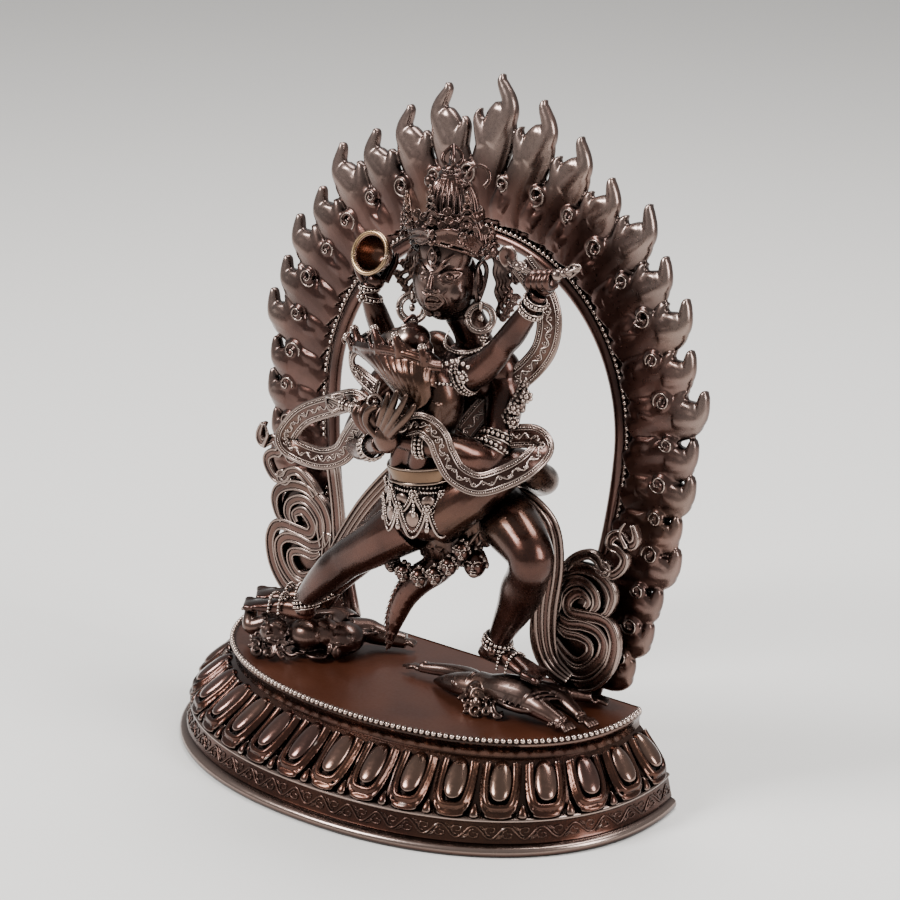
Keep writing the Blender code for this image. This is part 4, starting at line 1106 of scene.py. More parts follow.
def makeCrown(bm):
    # diadem band, hatched half-moons with beaded edges, rosettes and slim leaves
    for lift, radius in ((-0.2, 0.45), (3.0, 0.5)):
        cord(bm, [bandPlace(angle, lift, 0.2) for angle in range(-180, 181, 10)], radius, steps=1, sides=8)
    wall = [(*bandPlace(angle, 1.4, -0.5), 0.6, 1.7) for angle in range(-180, 181, 10)]
    spindle(bm, onFigure(wall), None, 12, 0.6)
    swags = (((10.7, -17.0, 136.9), (14.8, -18.6, 135.9), (19.1, -19.6, 137.8)), ((21.6, -20.0, 138.1), (26.7, -20.2, 137.5), (30.4, -19.2, 139.6)),
             ((31.6, -18.6, 139.3), (32.4, -16.6, 136.9), (32.8, -13.6, 134.5)), ((32.8, -12.6, 134.3), (32.8, -9.0, 132.2), (32.6, -5.0, 131.4)))
    moons = (((9.9, -16.5, 138.2), (13.9, -18.0, 140.0), (17.9, -19.0, 140.4)), ((22.0, -19.6, 141.0), (26.6, -19.4, 142.4), (30.0, -18.4, 141.8)),
             ((32.2, -16.8, 141.2), (33.0, -14.6, 139.8), (33.4, -12.0, 137.6)))
    for low, high in zip(swags, moons):
        pearls(bm, smoothRoute(low, 6), 0.46, 0.95)
        cord(bm, high, 0.75, 0.75, 6, 10)
        lowEdge, highEdge = smoothRoute(low, 6), smoothRoute(high, 6)
        for k in range(1, 12):
            start = Vector(lowEdge[k]).lerp(Vector(highEdge[k]), 0.18)
            cord(bm, [tuple(start), tuple(Vector(lowEdge[k]).lerp(Vector(highEdge[k]), 0.8))], 0.34, 0.30, 1, 8)
    for place in ((19.9, -19.8, 140.1), (31.9, -18.8, 141.2), (33.6, -8.0, 139.4), (9.0, -15.4, 137.6)):
        rosette(bm, place, (place[0] - 16.8, place[1] + 7, 0), 1.7)
    for x, y, z in ((20.6, -20.2, 137.5), (31.2, -19.0, 138.7), (33.2, -12.0, 134.7), (8.6, -14.8, 135.6)):
        lump(bm, (x, y, z), (1.0, 1.0, 1.0), segments=14)
    leaves = (
        ((6.6, -13.4, 137.0), (5.8, -13.8, 149.2), (-0.45, -0.88, 0.05), 2.3),
        ((18.4, -16.6, 140.4), (17.5, -16.8, 153.6), (0.17, -0.98, 0.05), 2.3),
        ((30.4, -15.6, 140.9), (30.6, -15.8, 153.4), (0.70, -0.70, 0.05), 2.4),
        ((32.6, -6.0, 131.8), (32.0, -6.0, 142.0), (0.95, -0.25, 0.1), 2.3),
        ((-1.2, -6.0, 133.0), (-1.8, -6.0, 142.0), (-0.95, -0.25, 0.1), 2.3),
    )
    for base, tip, out, size in leaves:
        crownLeaf(bm, base, tip, out, size)
    # beaded heap between the leaves
    for x, y, z in ((12.4, -16.0, 141.2), (11.0, -15.2, 144.0), (22.4, -17.4, 142.6), (24.6, -16.8, 144.4), (26.6, -16.6, 143.4), (23.0, -15.6, 146.6),
                    (14.0, -15.8, 143.6), (2.8, -10.4, 139.4), (2.2, -9.6, 142.4), (33.2, -10.4, 141.6)):
        cord(bm, ringRoute((x, y, z), toViewer, 1.1, 14), 0.42, steps=1, sides=8)
        lump(bm, (x, y, z), (0.6, 0.6, 0.6), segments=10)


def makeTopknot(bm):
    # dressed hair in upright strands, with a crescent, a small skull and the half vajra on top
    profile = smoothRoute(((134, 9.6), (138, 8.8), (141, 7.6), (144.5, 7.5), (148, 7.1), (151.5, 5.6), (154, 3.4)), 4)
    strands = hisHeadLook["strands"]
    core = [(blendTo(17.2, 14.8, (height - 134) / 20), -3.8, height, reach - 0.6) for height, reach in profile]
    tube(bm, onFigure(core), 1, 28)
    for k in range(strands):
        turn = 2 * pi * k / strands
        lock = []
        for (x, y, height, _), (_, reach) in zip(core, profile):
            twist = turn + (height - 134) * 0.012
            lock.append((x + (reach - 0.35) * cos(twist), y + (reach - 0.35) * sin(twist), height, 0.28 + 0.052 * reach))
        tube(bm, onFigure(lock), 1, 8)
    for height, reach, radius in ((141.8, 8.4, 0.7), (144.0, 8.0, 0.5)):
        cord(bm, ringRoute((16.6, -3.8, height), (0, 0, 1), reach, 28), radius, steps=1)
    pearls(bm, ringRoute((16.6, -3.8, 143.0), (0, 0, 1), 8.3, 28)[:-1], 0.7, closed=True)
    # crescent on the right, skull on the left
    cord(bm, ringRoute((26.6, -5.4, 156.0), toViewer, 3.4, 18, 1.0, radians(120), 0.62), 0.95, 0.35, 1)
    cord(bm, [(20.6, -4.6, 151.6), (23.4, -5.0, 153.4)], 1.0, 0.8, 3)
    lump(bm, (9.2, -7.0, 152.2), (1.9, 1.9, 2.1), segments=14)
    cord(bm, ringRoute((14.6, -3.4, 154.6), (0, 0, 1), 3.3, 20), 0.8, steps=1)
    pearls(bm, ringRoute((14.5, -3.3, 155.9), (0, 0, 1), 2.7, 16)[:-1], 0.55, closed=True)
    lump(bm, (14.4, -3.0, 156.3), (2.4, 2.4, 1.4))
    for k in range(4):
        turn = pi / 4 + k * pi / 2
        prong = [(blendTo(14.3, 13.0, share) + reach * cos(turn), blendTo(-2.9, -0.6, share) + reach * sin(turn),
                  blendTo(156.5, 162.6, share))
                 for share, reach in ((0, 1.0), (0.25, 2.8), (0.55, 2.9), (0.8, 1.6), (1.0, 0.2))]
        cord(bm, prong, 0.85, 0.6, 4, 8)
    cord(bm, [(14.3, -2.9, 156.5), (13.6, -1.7, 159.6), (13.0, -0.4, 163.2)], 0.8, 0.35, 4, 10)


def wavyLock(bm, start, end, waves, sway, radius, endRadius, curl=1.6, side=1, across=(1, 0, 0)):
    # a waving strand that ends in a curl
    start, end, across = Vector(start), Vector(end), Vector(across)
    points = []
    for i in range(waves * 8 + 1):
        share = i / (waves * 8)
        points.append(tuple(start.lerp(end, share) + across * sway * sin(2 * pi * waves * share) * (0.5 + 0.5 * share)))
    cord(bm, points, radius, endRadius, 1, 10)
    middle = end + across * side * curl
    cord(bm, spiral(tuple(middle), toViewer, curl, side * 1.1, pi if side > 0 else 0), endRadius, endRadius * 0.8, 1)


def makeLocks(bm):
    for side, x, y in ((1, 31.6, -1.0), (-1, 0.8, -3.5)):
        for k in range(4):
            shift = side * 1.9 * k
            wavyLock(bm, (x - side * 2.0 + shift * 0.55, y + 0.4 * k, 130.5 - 1.0 * k),
                     (x + shift * 0.9, y - 0.4 * k, 112.0 + 2.4 * k), 3, 0.7, 1.05, 0.75, 1.5, side)
        wavyLock(bm, (x, y + 1, 132), (x + side * 5.5, y + 1.5, 123.5), 2, 0.8, 1.1, 0.8, 1.6, side, (0.4, 0, 0.9))


def makeHisHead():
    bm = bmesh.new()
    makeFace(bm)
    limb(bm, (22, 0, 104, 5.4), (21, -2, 108, 5.3), (19, -4, 114, 5.6))
    makeTopknot(bm)
    makeLocks(bm)
    makeCrown(bm)
    piece = pieceFrom("hisHead", bm)
    melt(piece, hisHeadLook["voxel"], 1, hisHeadLook["keep"])
    return piece


def makeEarrings():
    # double rings in the lobes, each with a flower and a drop
    bm = bmesh.new()
    for x, y in ((28.4, -6.6), (5.4, -11.2)):
        for reach, radius in ((4.5, 0.62), (3.2, 0.42)):
            cord(bm, ringRoute((x, y, 112.4), toViewer, reach, 28), radius, steps=1, sides=10)
        pearls(bm, ringRoute((x, y, 112.4), toViewer, 3.85, 24)[:-1], 0.34, closed=True)
        cord(bm, [(x, y + 0.3, 117.6), (x, y, 114.6)], 0.8, 0.5, 3)
        lump(bm, (x, y, 112.4), (1.0, 1.0, 1.3), segments=12)
        rosette(bm, (x + 1.4, y - 0.4, 106.6), toViewer, 1.5)
        lump(bm, (x + 1.4, y - 0.4, 104.6), (0.7, 0.7, 1.1), segments=10)
    return pieceFrom("hisEarrings", bm)


def headFrontHighlight(place, normal):
    # painted highlight on the surfaces that turn to the front and to the right, as on the brows, nose, cheeks, lips and
    # the crown's edges; weaker above the band
    height = (place.z - soleZ) / unit
    towards = clampTo(-normal.y * 0.9 + normal.x * 0.3 - 0.35)
    return 0.16 * towards if height < 137 else 0.10 * towards


hisHead = makeHisHead()
paint(hisHead, headFrontHighlight)
finishPiece(hisHead, figureCopper, copperSlot, "figure_pair")
finishPiece(makeEarrings(), pearlCopper, copperSlot, "figure_pair")


# her head: upturned face, crown of pointed leaves, long hair

herHeadLook = {"voxel": 0.00026, "keep": 48000, "strands": 26}
herBand = ((-8.0, -24, 101.2), (-0.5, -28, 102.6), (6.9, -30, 104.1), (13.3, -31, 105.0), (18.6, -31, 105.2), (24.2, -30, 104.4),
           (26.6, -28, 102.6), (28.2, -25, 101.8))
herLeafTips = ((-9.4, -24.6, 103.4), (-7.9, -23, 105.8), (4.7, -28.4, 109.6), (14.9, -30.4, 109.8), (24.6, -29.6, 107.8))


def makeHerHead():
    bm, knobs = bmesh.new(), bmesh.new()
    lump(bm, (9.6, -21.5, 101.5), (8.6, 8.0, 7.6), segments=40)
    # the face looks up at him: brow, folded lids, nose and mouth in profile
    lump(bm, (12.0, -20.2, 105.4), (7.0, 5.8, 5.0), (14, -16, 0), 36)
    cord(bm, [(10.6, -22.4, 110.0), (12.6, -21.4, 110.6), (14.4, -19.6, 110.2)], 0.8, 0.9, 4, 10)
    for shift, radius in ((0, 0.5), (1.3, 0.42), (2.2, 0.34)):
        cord(bm, [(12.6 + shift, -23.2 + shift * 0.5, 109.4), (14.8 + shift, -24.0 + shift * 0.5, 107.6), (16.0 + shift, -24.2 + shift * 0.5, 105.0)],
             radius, 0.28)
    cord(bm, [(9.6, -24.4, 108.6), (11.2, -25.0, 106.6), (12.6, -25.4, 104.6)], 0.45, 0.3)
    cord(bm, [(17.2, -19.6, 108.0), (18.6, -19.4, 106.4), (19.0, -20.0, 104.4)], 0.6, 0.4)
    lump(bm, (17.6, -19.6, 104.0), (2.4, 2.4, 2.4), segments=18)
    cord(bm, [(9.0, -19.4, 110.2), (11.2, -17.6, 112.6), (12.4, -17.0, 110.4)], 0.75, 0.4)
    # crown band seen from behind, with its short thick leaves
    for lift, radius in ((0.0, 1.0), (-1.4, 0.55), (1.2, 0.5)):
        cord(bm, [(x, y, z + lift) for x, y, z in herBand], radius, steps=4, sides=10)
    band = smoothRoute(herBand, 6)
    for k, tip in enumerate(herLeafTips):
        base = Vector(band[(0, 4, 13, 22, 31)[k]])
        tip = Vector(tip)
        cord(bm, [tuple(base + Vector((0, 0.8, -1.4))), tuple(base.lerp(tip, 0.5) + Vector((0.6, 0, -0.4))), tuple(tip)], 1.9, 1.05, 4, 12)
        for side in (-1, 1):
            cord(bm, [tuple(base + Vector((2.6 * side, 0, -0.2))), tuple(base.lerp(tip, 0.45) + Vector((2.9 * side, 0, -0.2))),
                      tuple(base.lerp(tip, 0.72) + Vector((1.8 * side, -0.3, 0)))], 0.8, 0.4, 3, 8)
        lump(knobs, tuple(tip), (1.15, 1.15, 1.15), segments=14)
        cord(knobs, ringRoute(tuple(tip), toViewer, 1.15, 14), 0.3, steps=1, sides=6)
    row = smoothRoute(herBand[5:] + ((31.2, -22, 103.2), (35.0, -20.6, 101.6)), 6)
    pearls(knobs, row, 0.85)
    # hair in fine strands that narrows from the band to the nape
    low = smoothRoute(((18.7, -31, 89.3), (21.5, -32, 88.9), (23.9, -32.5, 88.9), (26.2, -32.5, 89.8), (27.6, -31.6, 91.4), (28.0, -30, 93.2)), 5)
    count = herHeadLook["strands"]
    for k in range(count):
        share = k / (count - 1)
        top = Vector(band[round(share * (len(band) - 8))]) + Vector((0, 0.4, -1.6))
        end = Vector(low[round(share * (len(low) - 1))])
        belly = top.lerp(end, 0.42) + Vector((0.4, -1.2 - 1.4 * sin(pi * share), blendTo(2.6, 0.2, share)))
        cord(bm, [tuple(top), tuple(belly), tuple(end)], 0.86, 0.44, 8, 10)
    limb(bm, (4, -24, 100, 4.6), (10, -25, 99.6, 6.6), (16, -26.4, 96.6, 6.2), (21, -28.6, 93, 4.6), (24.6, -30, 90.4, 2.9), sides=24)
    limb(bm, (18, -24, 100, 6.2), (22, -26, 97, 5.8), (25, -28.6, 93.6, 4.0), sides=24)
    piece = pieceFrom("herHead", bm)
    melt(piece, herHeadLook["voxel"], 1, herHeadLook["keep"])
    return piece, pieceFrom("herCrownPearls", knobs)


def herBrowHighlight(place, normal):
    # a painted highlight round her brow, in the brassy tone of rubbed-through metal
    brow = Vector(onFigure([(10.4, -24.0, 107.6)])[0])
    return 0.62 * (1 - easeStep(0.0022, 0.0048, (place - brow).length))


herHead, herPearls = makeHerHead()
paint(herHead, herBrowHighlight)
finishPiece(herHead, figureCopper, copperSlot, "figure_pair")
finishPiece(herPearls, pearlCopper, copperSlot, "figure_pair")

# dress: engraved scarves, drape, scrolls, belt, apron, hide with tail, garland of heads

dressLook = {"rim": 0.42, "innerRim": 0.26, "vine": 0.30, "vinePitch": 5.2}


def engravedBand(bm, facing, halfWidth, *points, steps=8, thick=0.75, pearly=True):
    # a flat band with a double rim, a row of dots, and a leafy scroll down its middle on both faces
    look = dressLook
    route = smoothRoute(points, steps)
    spindle(bm, onFigure([(*point, halfWidth, thick) for point in route]), facing, 14, 0.45)
    fine = smoothRoute(points, steps * 2)
    for side in (-1, 1):
        cord(bm, beside(route, facing, side * halfWidth, 0), look["rim"] + 0.12, steps=1)
        cord(bm, beside(route, facing, side * halfWidth * 0.60, thick), look["innerRim"], steps=1, sides=6)
        if pearly:
            pearls(bm, beside(route, facing, side * halfWidth * 0.80, thick), 0.24, 0.72, segments=6)
    size = sum((Vector(b) - Vector(a)).length for a, b in zip(fine, fine[1:]))
    frames, walked, vine = routeFrames(fine, facing), 0.0, []
    waves = max(1, round(size / look["vinePitch"]))
    for i, matrix in enumerate(frames):
        turn = 2 * pi * waves * walked / size
        vine.append(tuple(matrix @ Vector((halfWidth * 0.26 * sin(turn), thick + 0.05, 0))))
        if i + 1 < len(fine):
            walked += (Vector(fine[i + 1]) - Vector(fine[i])).length
    cord(bm, vine, look["vine"], steps=1, sides=6)
    for wave in range(2 * waves):
        index = min(len(fine) - 1, round((wave + 0.5) / (2 * waves) * (len(fine) - 1)))
        side = -1 if wave % 2 else 1
        middle = frames[index] @ Vector((-side * halfWidth * 0.08, thick, 0))
        curl = spiral(tuple(middle), tuple(frames[index].to_3x3() @ Vector((0, 1, 0))), halfWidth * 0.26, side * 1.1, 0, 0.1, 12)
        cord(bm, curl, 0.24, 0.2, 1, 6)


def makeScarves():
    bm = bmesh.new()
    engravedBand(bm, toViewer, 3.1, (2, -31, 85), (-3, -30, 85.6), (-15, -26, 80.4), (-28, -24, 74), (-35.5, -23, 67), (-36.8, -23, 63),
                 (-32, -23, 60.8), (-21, -24, 61), (-12, -25, 65), (-6, -27, 72), (0, -30, 78))
    engravedBand(bm, toViewer, 3.4, (38, 1, 130), (45, 2, 122), (48.2, 2, 114), (47.4, 1, 105), (42.4, 0, 97.5), (36, -3, 91),
                 (31, -8, 84), (28, -14, 77))
    engravedBand(bm, toViewer, 3.2, (20, -33, 82.5), (28, -34, 85.5), (34, -34, 83), (36.4, -33, 77), (40, -32, 71.8), (47, -30, 69.6),
                 (54, -26, 72.5), (58, -20, 76), (57.5, -13, 79), (51, -9, 80), (42, -9, 78))
    # small scarf end that hangs from her neck
    engravedBand(bm, (-0.6, -0.7, 0.2), 2.6, (-2, -22, 104), (-8.4, -22.4, 99), (-9.4, -22, 93.6), (-5.0, -22, 90.2), (1, -23, 88),
                 steps=5)
    return pieceFrom("scarves", bm)


def ridgedBand(bm, facing, halfWidth, ridges, points, thick=1.0, steps=8, swell=None):
    # a cloth band of parallel rounded ridges, the outer two the strongest
    route = smoothRoute(points, steps)
    last = len(route) - 1
    widths = [halfWidth * (swell(i / last) if swell else 1) for i in range(last + 1)]
    spindle(bm, onFigure([(*point, width, thick) for point, width in zip(route, widths)]), facing, 12, 0.6)
    frames = routeFrames(route, facing)
    for k in range(ridges):
        side = blendTo(-1, 1, k / (ridges - 1))
        radius = halfWidth / ridges * (0.92 if abs(side) == 1 else 0.80)
        line = [tuple(matrix @ Vector((side * (width - radius), thick * 0.75, 0))) for matrix, width in zip(frames, widths)]
        cord(bm, line, radius, radius * 0.8, 1, 10)


# the lines of the scroll on the right, as x and height; the left one mirrors them
scrollBands = (
    (1.9, (44.0, 44.0), (41.6, 30.9), (40.2, 17.8), (39.6, 6.7), (42.9, -1.0), (50.6, -5.5), (61.1, -4.4), (68.0, 2.3), (70.4, 10.9),
     (68.6, 16.6), (64.6, 18.5), (57.8, 18.0), (52.8, 18.0), (51.5, 20.7), (53.7, 23.8), (56.6, 25.0), (59.6, 23.2), (58.4, 20.6)),
    (1.8, (44.8, 20), (45.3, 12.6), (46.9, 5.3), (53.0, -0.6), (59.0, -0.6), (64.6, 4.5), (66.4, 10.6), (63.4, 14.2), (57.8, 14.8), (51.8, 13.9),
     (46.8, 16.1), (44.7, 21.5), (47.1, 28.2), (53.5, 32.6), (60.4, 33.2), (66.4, 30.7), (68.6, 26.6), (67.2, 21.6), (65.1, 19.6)),
    (1.5, (45.9, 8.5), (52.0, 3.6), (57.0, 2.4), (60.7, 5.8), (60.7, 9.4), (56.9, 10.7), (51.4, 10.4), (47.8, 12.2)),
    (1.6, (46.4, 14.6), (47.9, 19.8), (48.6, 24.2), (52.8, 28.2), (57.6, 29.0), (61.8, 26.6), (62.8, 22.8), (60.7, 19.4)),
    (1.5, (50.0, 31.6), (53.5, 35.5), (58.4, 38.2), (62.3, 37.3), (64.3, 34.6), (68.3, 33.9), (71.6, 36.9), (72.4, 40.1), (70.0, 42.3),
     (67.1, 42.9), (67.0, 45.4), (69.5, 47.2), (71.9, 46.1), (74.3, 44.8), (76.0, 46.2), (76.0, 48.5), (74.7, 51.4)),
    (1.0, (61.6, 35.4), (63.6, 33.4), (66.2, 33.6), (66.6, 36.0), (64.6, 37.0)),
)


def makeDrapes():
    bm = bmesh.new()
    ridgedBand(bm, (0.9, -0.5, 0.2), 4.6, 4, [(32, -1, 56), (39, 0, 55), (45.5, 1, 50.5), (48.6, 2, 44), (48.6, 3, 33), (46, 4, 18),
                                            (45.6, 5, 7), (48, 6, 0), (54, 7, -4)],
               swell=lambda share: 0.55 + 0.45 * sin(pi * share))
    ridgedBand(bm, (-0.2, -1, 0.2), 3.4, 4, [(14, 4, 68), (-3, 6, 60), (-15, 6, 50), (-28, 6, 36), (-38, 6.5, 22), (-44, 7, 12)])
    for side in (1, -1):
        lean = 0.0 if side > 0 else -3.0
        for halfWidth, *line in scrollBands:
            route = [(side * x + lean, 8.6 + 0.05 * height, height) for x, height in line]
            last = 5 * (len(route) - 1)
            smooth = smoothRoute(route, 5)
            flat = [(*point, halfWidth * (1 if i < last * 0.85 else blendTo(1, 0.45, (i / last - 0.85) / 0.15)), 1.5)
                    for i, point in enumerate(smooth)]
            spindle(bm, onFigure(flat), (0, -1, 0), 14, 0.7)
            frames = routeFrames(smooth, (0, -1, 0))
            for edge in (-1, 1):
                line = [tuple(matrix @ Vector((edge * (wide[3] - 0.35), 1.25, 0))) for matrix, wide in zip(frames, flat)]
                cord(bm, line, 0.62, 0.5, 1, 8)
        # backing that joins the bands
        lump(bm, (side * 56.5 + lean, 11.2, 23.6), (11.0, 1.5, 9.4), segments=32)
        lump(bm, (side * 57.5 + lean, 10.6, 5.0), (12.0, 1.5, 8.8), segments=32)
        cord(bm, [(side * 73.4 + lean, 9, 44), (side * 71.2 + lean, 8.6, 48.4), (side * 72.8 + lean, 9, 52.0)], 1.0, 0.2)
    return pieceFrom("drapeAndScrolls", bm)


def pelvisPlace(turn, height, reach):
    # round her hips, at an angle from -X through the front
    return (17.6 + (10.6 + reach) * cos(turn), -20.6 + (9.6 + reach) * sin(turn), height)


def makeApron():
    bm = bmesh.new()
    # swags of pearls with oval stones, rosettes between them and drops below
    for tier, (height, count, reach, drop) in enumerate(((61.0, 5, 1.0, 6.5), (56.5, 5, 1.6, 9.5))):
        for k in range(count):
            start, end = radians(-200 + 44 * k + 20 * tier), radians(-200 + 44 * (k + 1) + 20 * tier)
            for size, radius, pearly in ((1.0, 0.42, False), (0.80, 0.40, True)):
                loop = []
                for i in range(11):
                    share = i / 10
                    inset = (1 - size) * 0.5
                    turn = blendTo(start, end, blendTo(inset, 1 - inset, share))
                    loop.append(pelvisPlace(turn, height - drop * size * sin(pi * share) ** 0.8, reach + 0.5 * size))
                if pearly:
                    pearls(bm, loop, radius)
                else:
                    cord(bm, loop, radius, steps=2)
            middle = pelvisPlace((start + end) / 2, height - drop * 0.40, reach - 0.3)
            facing = Vector((cos((start + end) / 2), sin((start + end) / 2), 0))
            lump(bm, middle, (2.3, 0.9, drop * 0.30), (0, 0, degrees(atan2(facing.y, facing.x)) + 90), 18)
            knot = pelvisPlace(start, height, reach + 0.6)
            rosette(bm, knot, (cos(start), sin(start), 0.1), 1.55)
            for step in range(3):
                lump(bm, pelvisPlace(start, height - 2.3 - 1.3 * step, reach + 0.6), (0.6, 0.6, 0.7), segments=8)
            lump(bm, pelvisPlace(start, height - 6.6, reach + 0.5), (0.9, 0.9, 1.4), segments=10)
    for height, reach, radius in ((62.4, -0.6, 0.6), (61.2, 0.5, 0.45)):
        pearls(bm, [pelvisPlace(radians(angle), height, reach) for angle in range(-210, 31, 8)], radius)
    return pieceFrom("pearlApron", bm)


def makeBelt():
    bm = bmesh.new()
    waist = [(*pelvisPlace(radians(angle), 65.6 + 1.2 * cos(radians(angle)), 0.2), 0.7, 2.4) for angle in range(0, 361, 12)]
    spindle(bm, onFigure(waist), None, 12, 0.5)
    for lift in (-2.3, 2.3):
        cord(bm, [pelvisPlace(radians(angle), 65.6 + lift + 1.2 * cos(radians(angle)), 0.6) for angle in range(0, 361, 12)], 0.5,
             steps=1)
    return pieceFrom("brightBelt", bm)


def makeHide():
    # tiger hide under the apron, ringed studs on it, and the tail that hangs to the base
    bm = bmesh.new()
    # a sheet with a wavy hem, folded a little along its fall
    for k in range(13):
        share = k / 12
        x, depth = blendTo(7.5, 34.5, share), sin(pi * clampTo(share))
        bottom = 38.0 - 6.5 * depth + 1.2 * cos(4 * pi * share)
        route = [(x, -14 - 6.0 * depth, 58, 2.4, 1.5), (x + 0.3, -13.6 - 6.4 * depth, 49, 2.4, 1.6), (x + 0.2, -12.0 - 5.4 * depth, bottom + 2.5, 2.1, 1.2)]
        spindle(bm, onFigure(smoothRoute(route, 4)), (0.3 - 0.6 * (1 - share), -1, 0.1), 12, 0.7)
    for row, height in enumerate((49.5, 45.0, 40.5)):
        for k in range(6):
            x = 11.5 + 3.9 * k + 1.9 * (row % 2)
            depth = -15.2 - 6.2 * sin(pi * clampTo((x - 7.5) / 27)) + 0.6 * row
            cord(bm, ringRoute((x, depth, height), (0.1, -1, 0.2), 1.05, 12), 0.32, steps=1, sides=6)
            lump(bm, (x, depth, height), (0.45, 0.45, 0.45), segments=8)
    tail = [(22, -12.5, 37), (18, -14.5, 31), (12.5, -16.2, 26), (7.6, -17.6, 19.5), (4.2, -18.6, 11), (2.4, -19.2, 2.4)]
    fat = [4.9, 4.9, 4.5, 3.8, 2.7, 0.6]
    tube(bm, onFigure([(*point, radius) for point, radius in zip(tail, fat)]), 6, 20)
    route = smoothRoute([(*point, radius) for point, radius in zip(tail, fat)], 5)
    for i, matrix in enumerate(routeFrames(route, toViewer)):
        radius = route[i][3]
        for side in (-1, -0.35, 0.35):
            start = matrix @ Vector((side * radius * 0.95, radius * sqrt(1 - min(side * side, 0.96)) * 0.9, 0))
            end = matrix @ Vector((side * radius * 1.06 - 0.1, radius * 0.7, 2.6))
            if i % (1 if side == -1 else 2) == 0:
                cord(bm, [tuple(start), tuple(start.lerp(end, 0.5)), tuple(end)], 0.55, 0.16, 2, 6)
    # the dark round flap beside the straight leg
    for k in range(5):
        cord(bm, [(2.0 + 2 * k, -15, 50 - k), (-0.5 + 1.8 * k, -17, 44 - k), (0.5 + 2.0 * k, -16.5, 38 - 0.6 * k)], 2.0, 1.3, 5, 10)
    piece = pieceFrom("hideAndTail", bm)
    melt(piece, 0.0003, 1, 27000)
    return piece


def smallHead(bm, centre, radius, out=(0.45, -0.85, 0.1)):
    # a severed head: face with brows, nose and mouth, under a topknot
    middle, out = Vector(centre), Vector(out).normalized()
    across = Vector((0, 0, 1)).cross(out).normalized()
    up = out.cross(across) * -1
    up = up if up.z > 0 else -up

    def spot(side, height, forward):
        return tuple(middle + (across * side + up * height + out * forward) * radius)

    lump(bm, spot(0, 0, 0), (radius * 0.92, radius * 0.92, radius * 1.1), segments=18)
    lump(bm, spot(0, -0.62, 0.35), (radius * 0.5, radius * 0.5, radius * 0.42), segments=12)
    for side in (-1, 1):
        lump(bm, spot(0.36 * side, 0.12, 0.80), (radius * 0.20, radius * 0.18, radius * 0.15), segments=8)
        cord(bm, [spot(0.08 * side, 0.30, 0.96), spot(0.40 * side, 0.46, 0.86), spot(0.72 * side, 0.28, 0.62)], radius * 0.10,
             steps=2, sides=6)
        lump(bm, spot(0.95 * side, 0, 0), (radius * 0.22, radius * 0.2, radius * 0.34), segments=8)
    cord(bm, [spot(0, 0.28, 0.94), spot(0, -0.02, 1.08), spot(0, -0.12, 1.08)], radius * 0.12, radius * 0.2, 2, 8)
    cord(bm, [spot(-0.3, -0.42, 0.86), spot(0, -0.36, 0.98), spot(0.3, -0.42, 0.86)], radius * 0.09, steps=2, sides=6)
    cord(bm, [spot(-0.26, -0.56, 0.82), spot(0, -0.60, 0.92), spot(0.26, -0.56, 0.82)], radius * 0.10, steps=2, sides=6)
    for k in range(5):
        turn = radians(-80 + 40 * k)
        cord(bm, [spot(0.9 * sin(turn), 0.45 * cos(turn) + 0.25, 0.35), spot(0.55 * sin(turn), 0.95, -0.1), spot(0.1 * sin(turn), 1.25, -0.2)],
             radius * 0.28, radius * 0.16, 2, 8)
    lump(bm, spot(0, 1.3, -0.15), (radius * 0.36, radius * 0.36, radius * 0.34), segments=10)


def makeGarland():
    bm = bmesh.new()
    chain = [(-6, -14, 36), (-3, -16.5, 33.6), (4, -19, 32), (12.5, -21, 30.2), (20, -21, 31), (27, -20.6, 35), (32, -18, 42),
             (35.5, -13, 50), (36, -8, 58)]
    cord(bm, chain, 0.7)
    for k, place in enumerate(evenPoints(smoothRoute(chain, 6), 6.3)[1:8]):
        smallHead(bm, tuple(place + Vector((0, -1.6, -0.6))), 2.7)
        lump(bm, tuple(place + Vector((1.4, -1.0, 2.4))), (0.9, 0.9, 0.9), segments=10)
    # the larger head on its twisted cord
    smallHead(bm, (33.8, -15.5, 36.4), 3.9)
    for phase in (0, pi):
        twist = [(33.8 + 0.7 * cos(phase + k * 1.0) + 0.05 * k, -13.6 + 0.7 * sin(phase + k * 1.0), 41 + 0.95 * k) for k in range(20)]
        cord(bm, twist, 0.8, steps=2, sides=8)
    return pieceFrom("headGarland", bm)


def makeStaff():
    # knotted end of the staff behind his shoulder and elbow, built of stacked buds
    bm = bmesh.new()
    for x, y, height, radius in ((41, -7, 84, 2.8), (43.4, -6.6, 87.6, 3.0), (45.0, -6.2, 91.4, 2.6), (45.4, -6, 94.6, 1.8)):
        rosette(bm, (x, y - 1, height), toViewer, radius, 7)
        lump(bm, (x, y, height), (radius * 0.8,) * 3, segments=12)
    cord(bm, [(38, -7, 80), (43, -6.6, 87), (45.6, -6, 97)], 1.0, 0.6)
    return pieceFrom("staffBuds", bm)


for dress, finish in ((makeScarves(), jewelCopper), (makeDrapes(), jewelCopper), (makeApron(), pearlCopper), (makeBelt(), beltCopper),
                      (makeHide(), figureCopper), (makeGarland(), figureCopper), (makeStaff(), figureCopper)):
    finishPiece(dress, finish, copperSlot, "figure_pair")

# jewellery and hands

def finger(bm, *points, thick=1.05):
    # a finger with its joints a little swollen
    points = [Vector(point) for point in points]
    sizes = [thick, thick * 0.92, thick * 1.0, thick * 0.86, thick * 0.62]
    route = smoothRoute([tuple(point) for point in points], 4)
    sized = [(*point, smoothRoute([(size,) for size in sizes], 8)[round(i / (len(route) - 1) * 32)][0])
             for i, point in enumerate(route)]
    tube(bm, onFigure(sized), 1, 10)
    tip = Vector(route[-1])
    lump(bm, tuple(tip), (thick * 0.6,) * 3, segments=8)


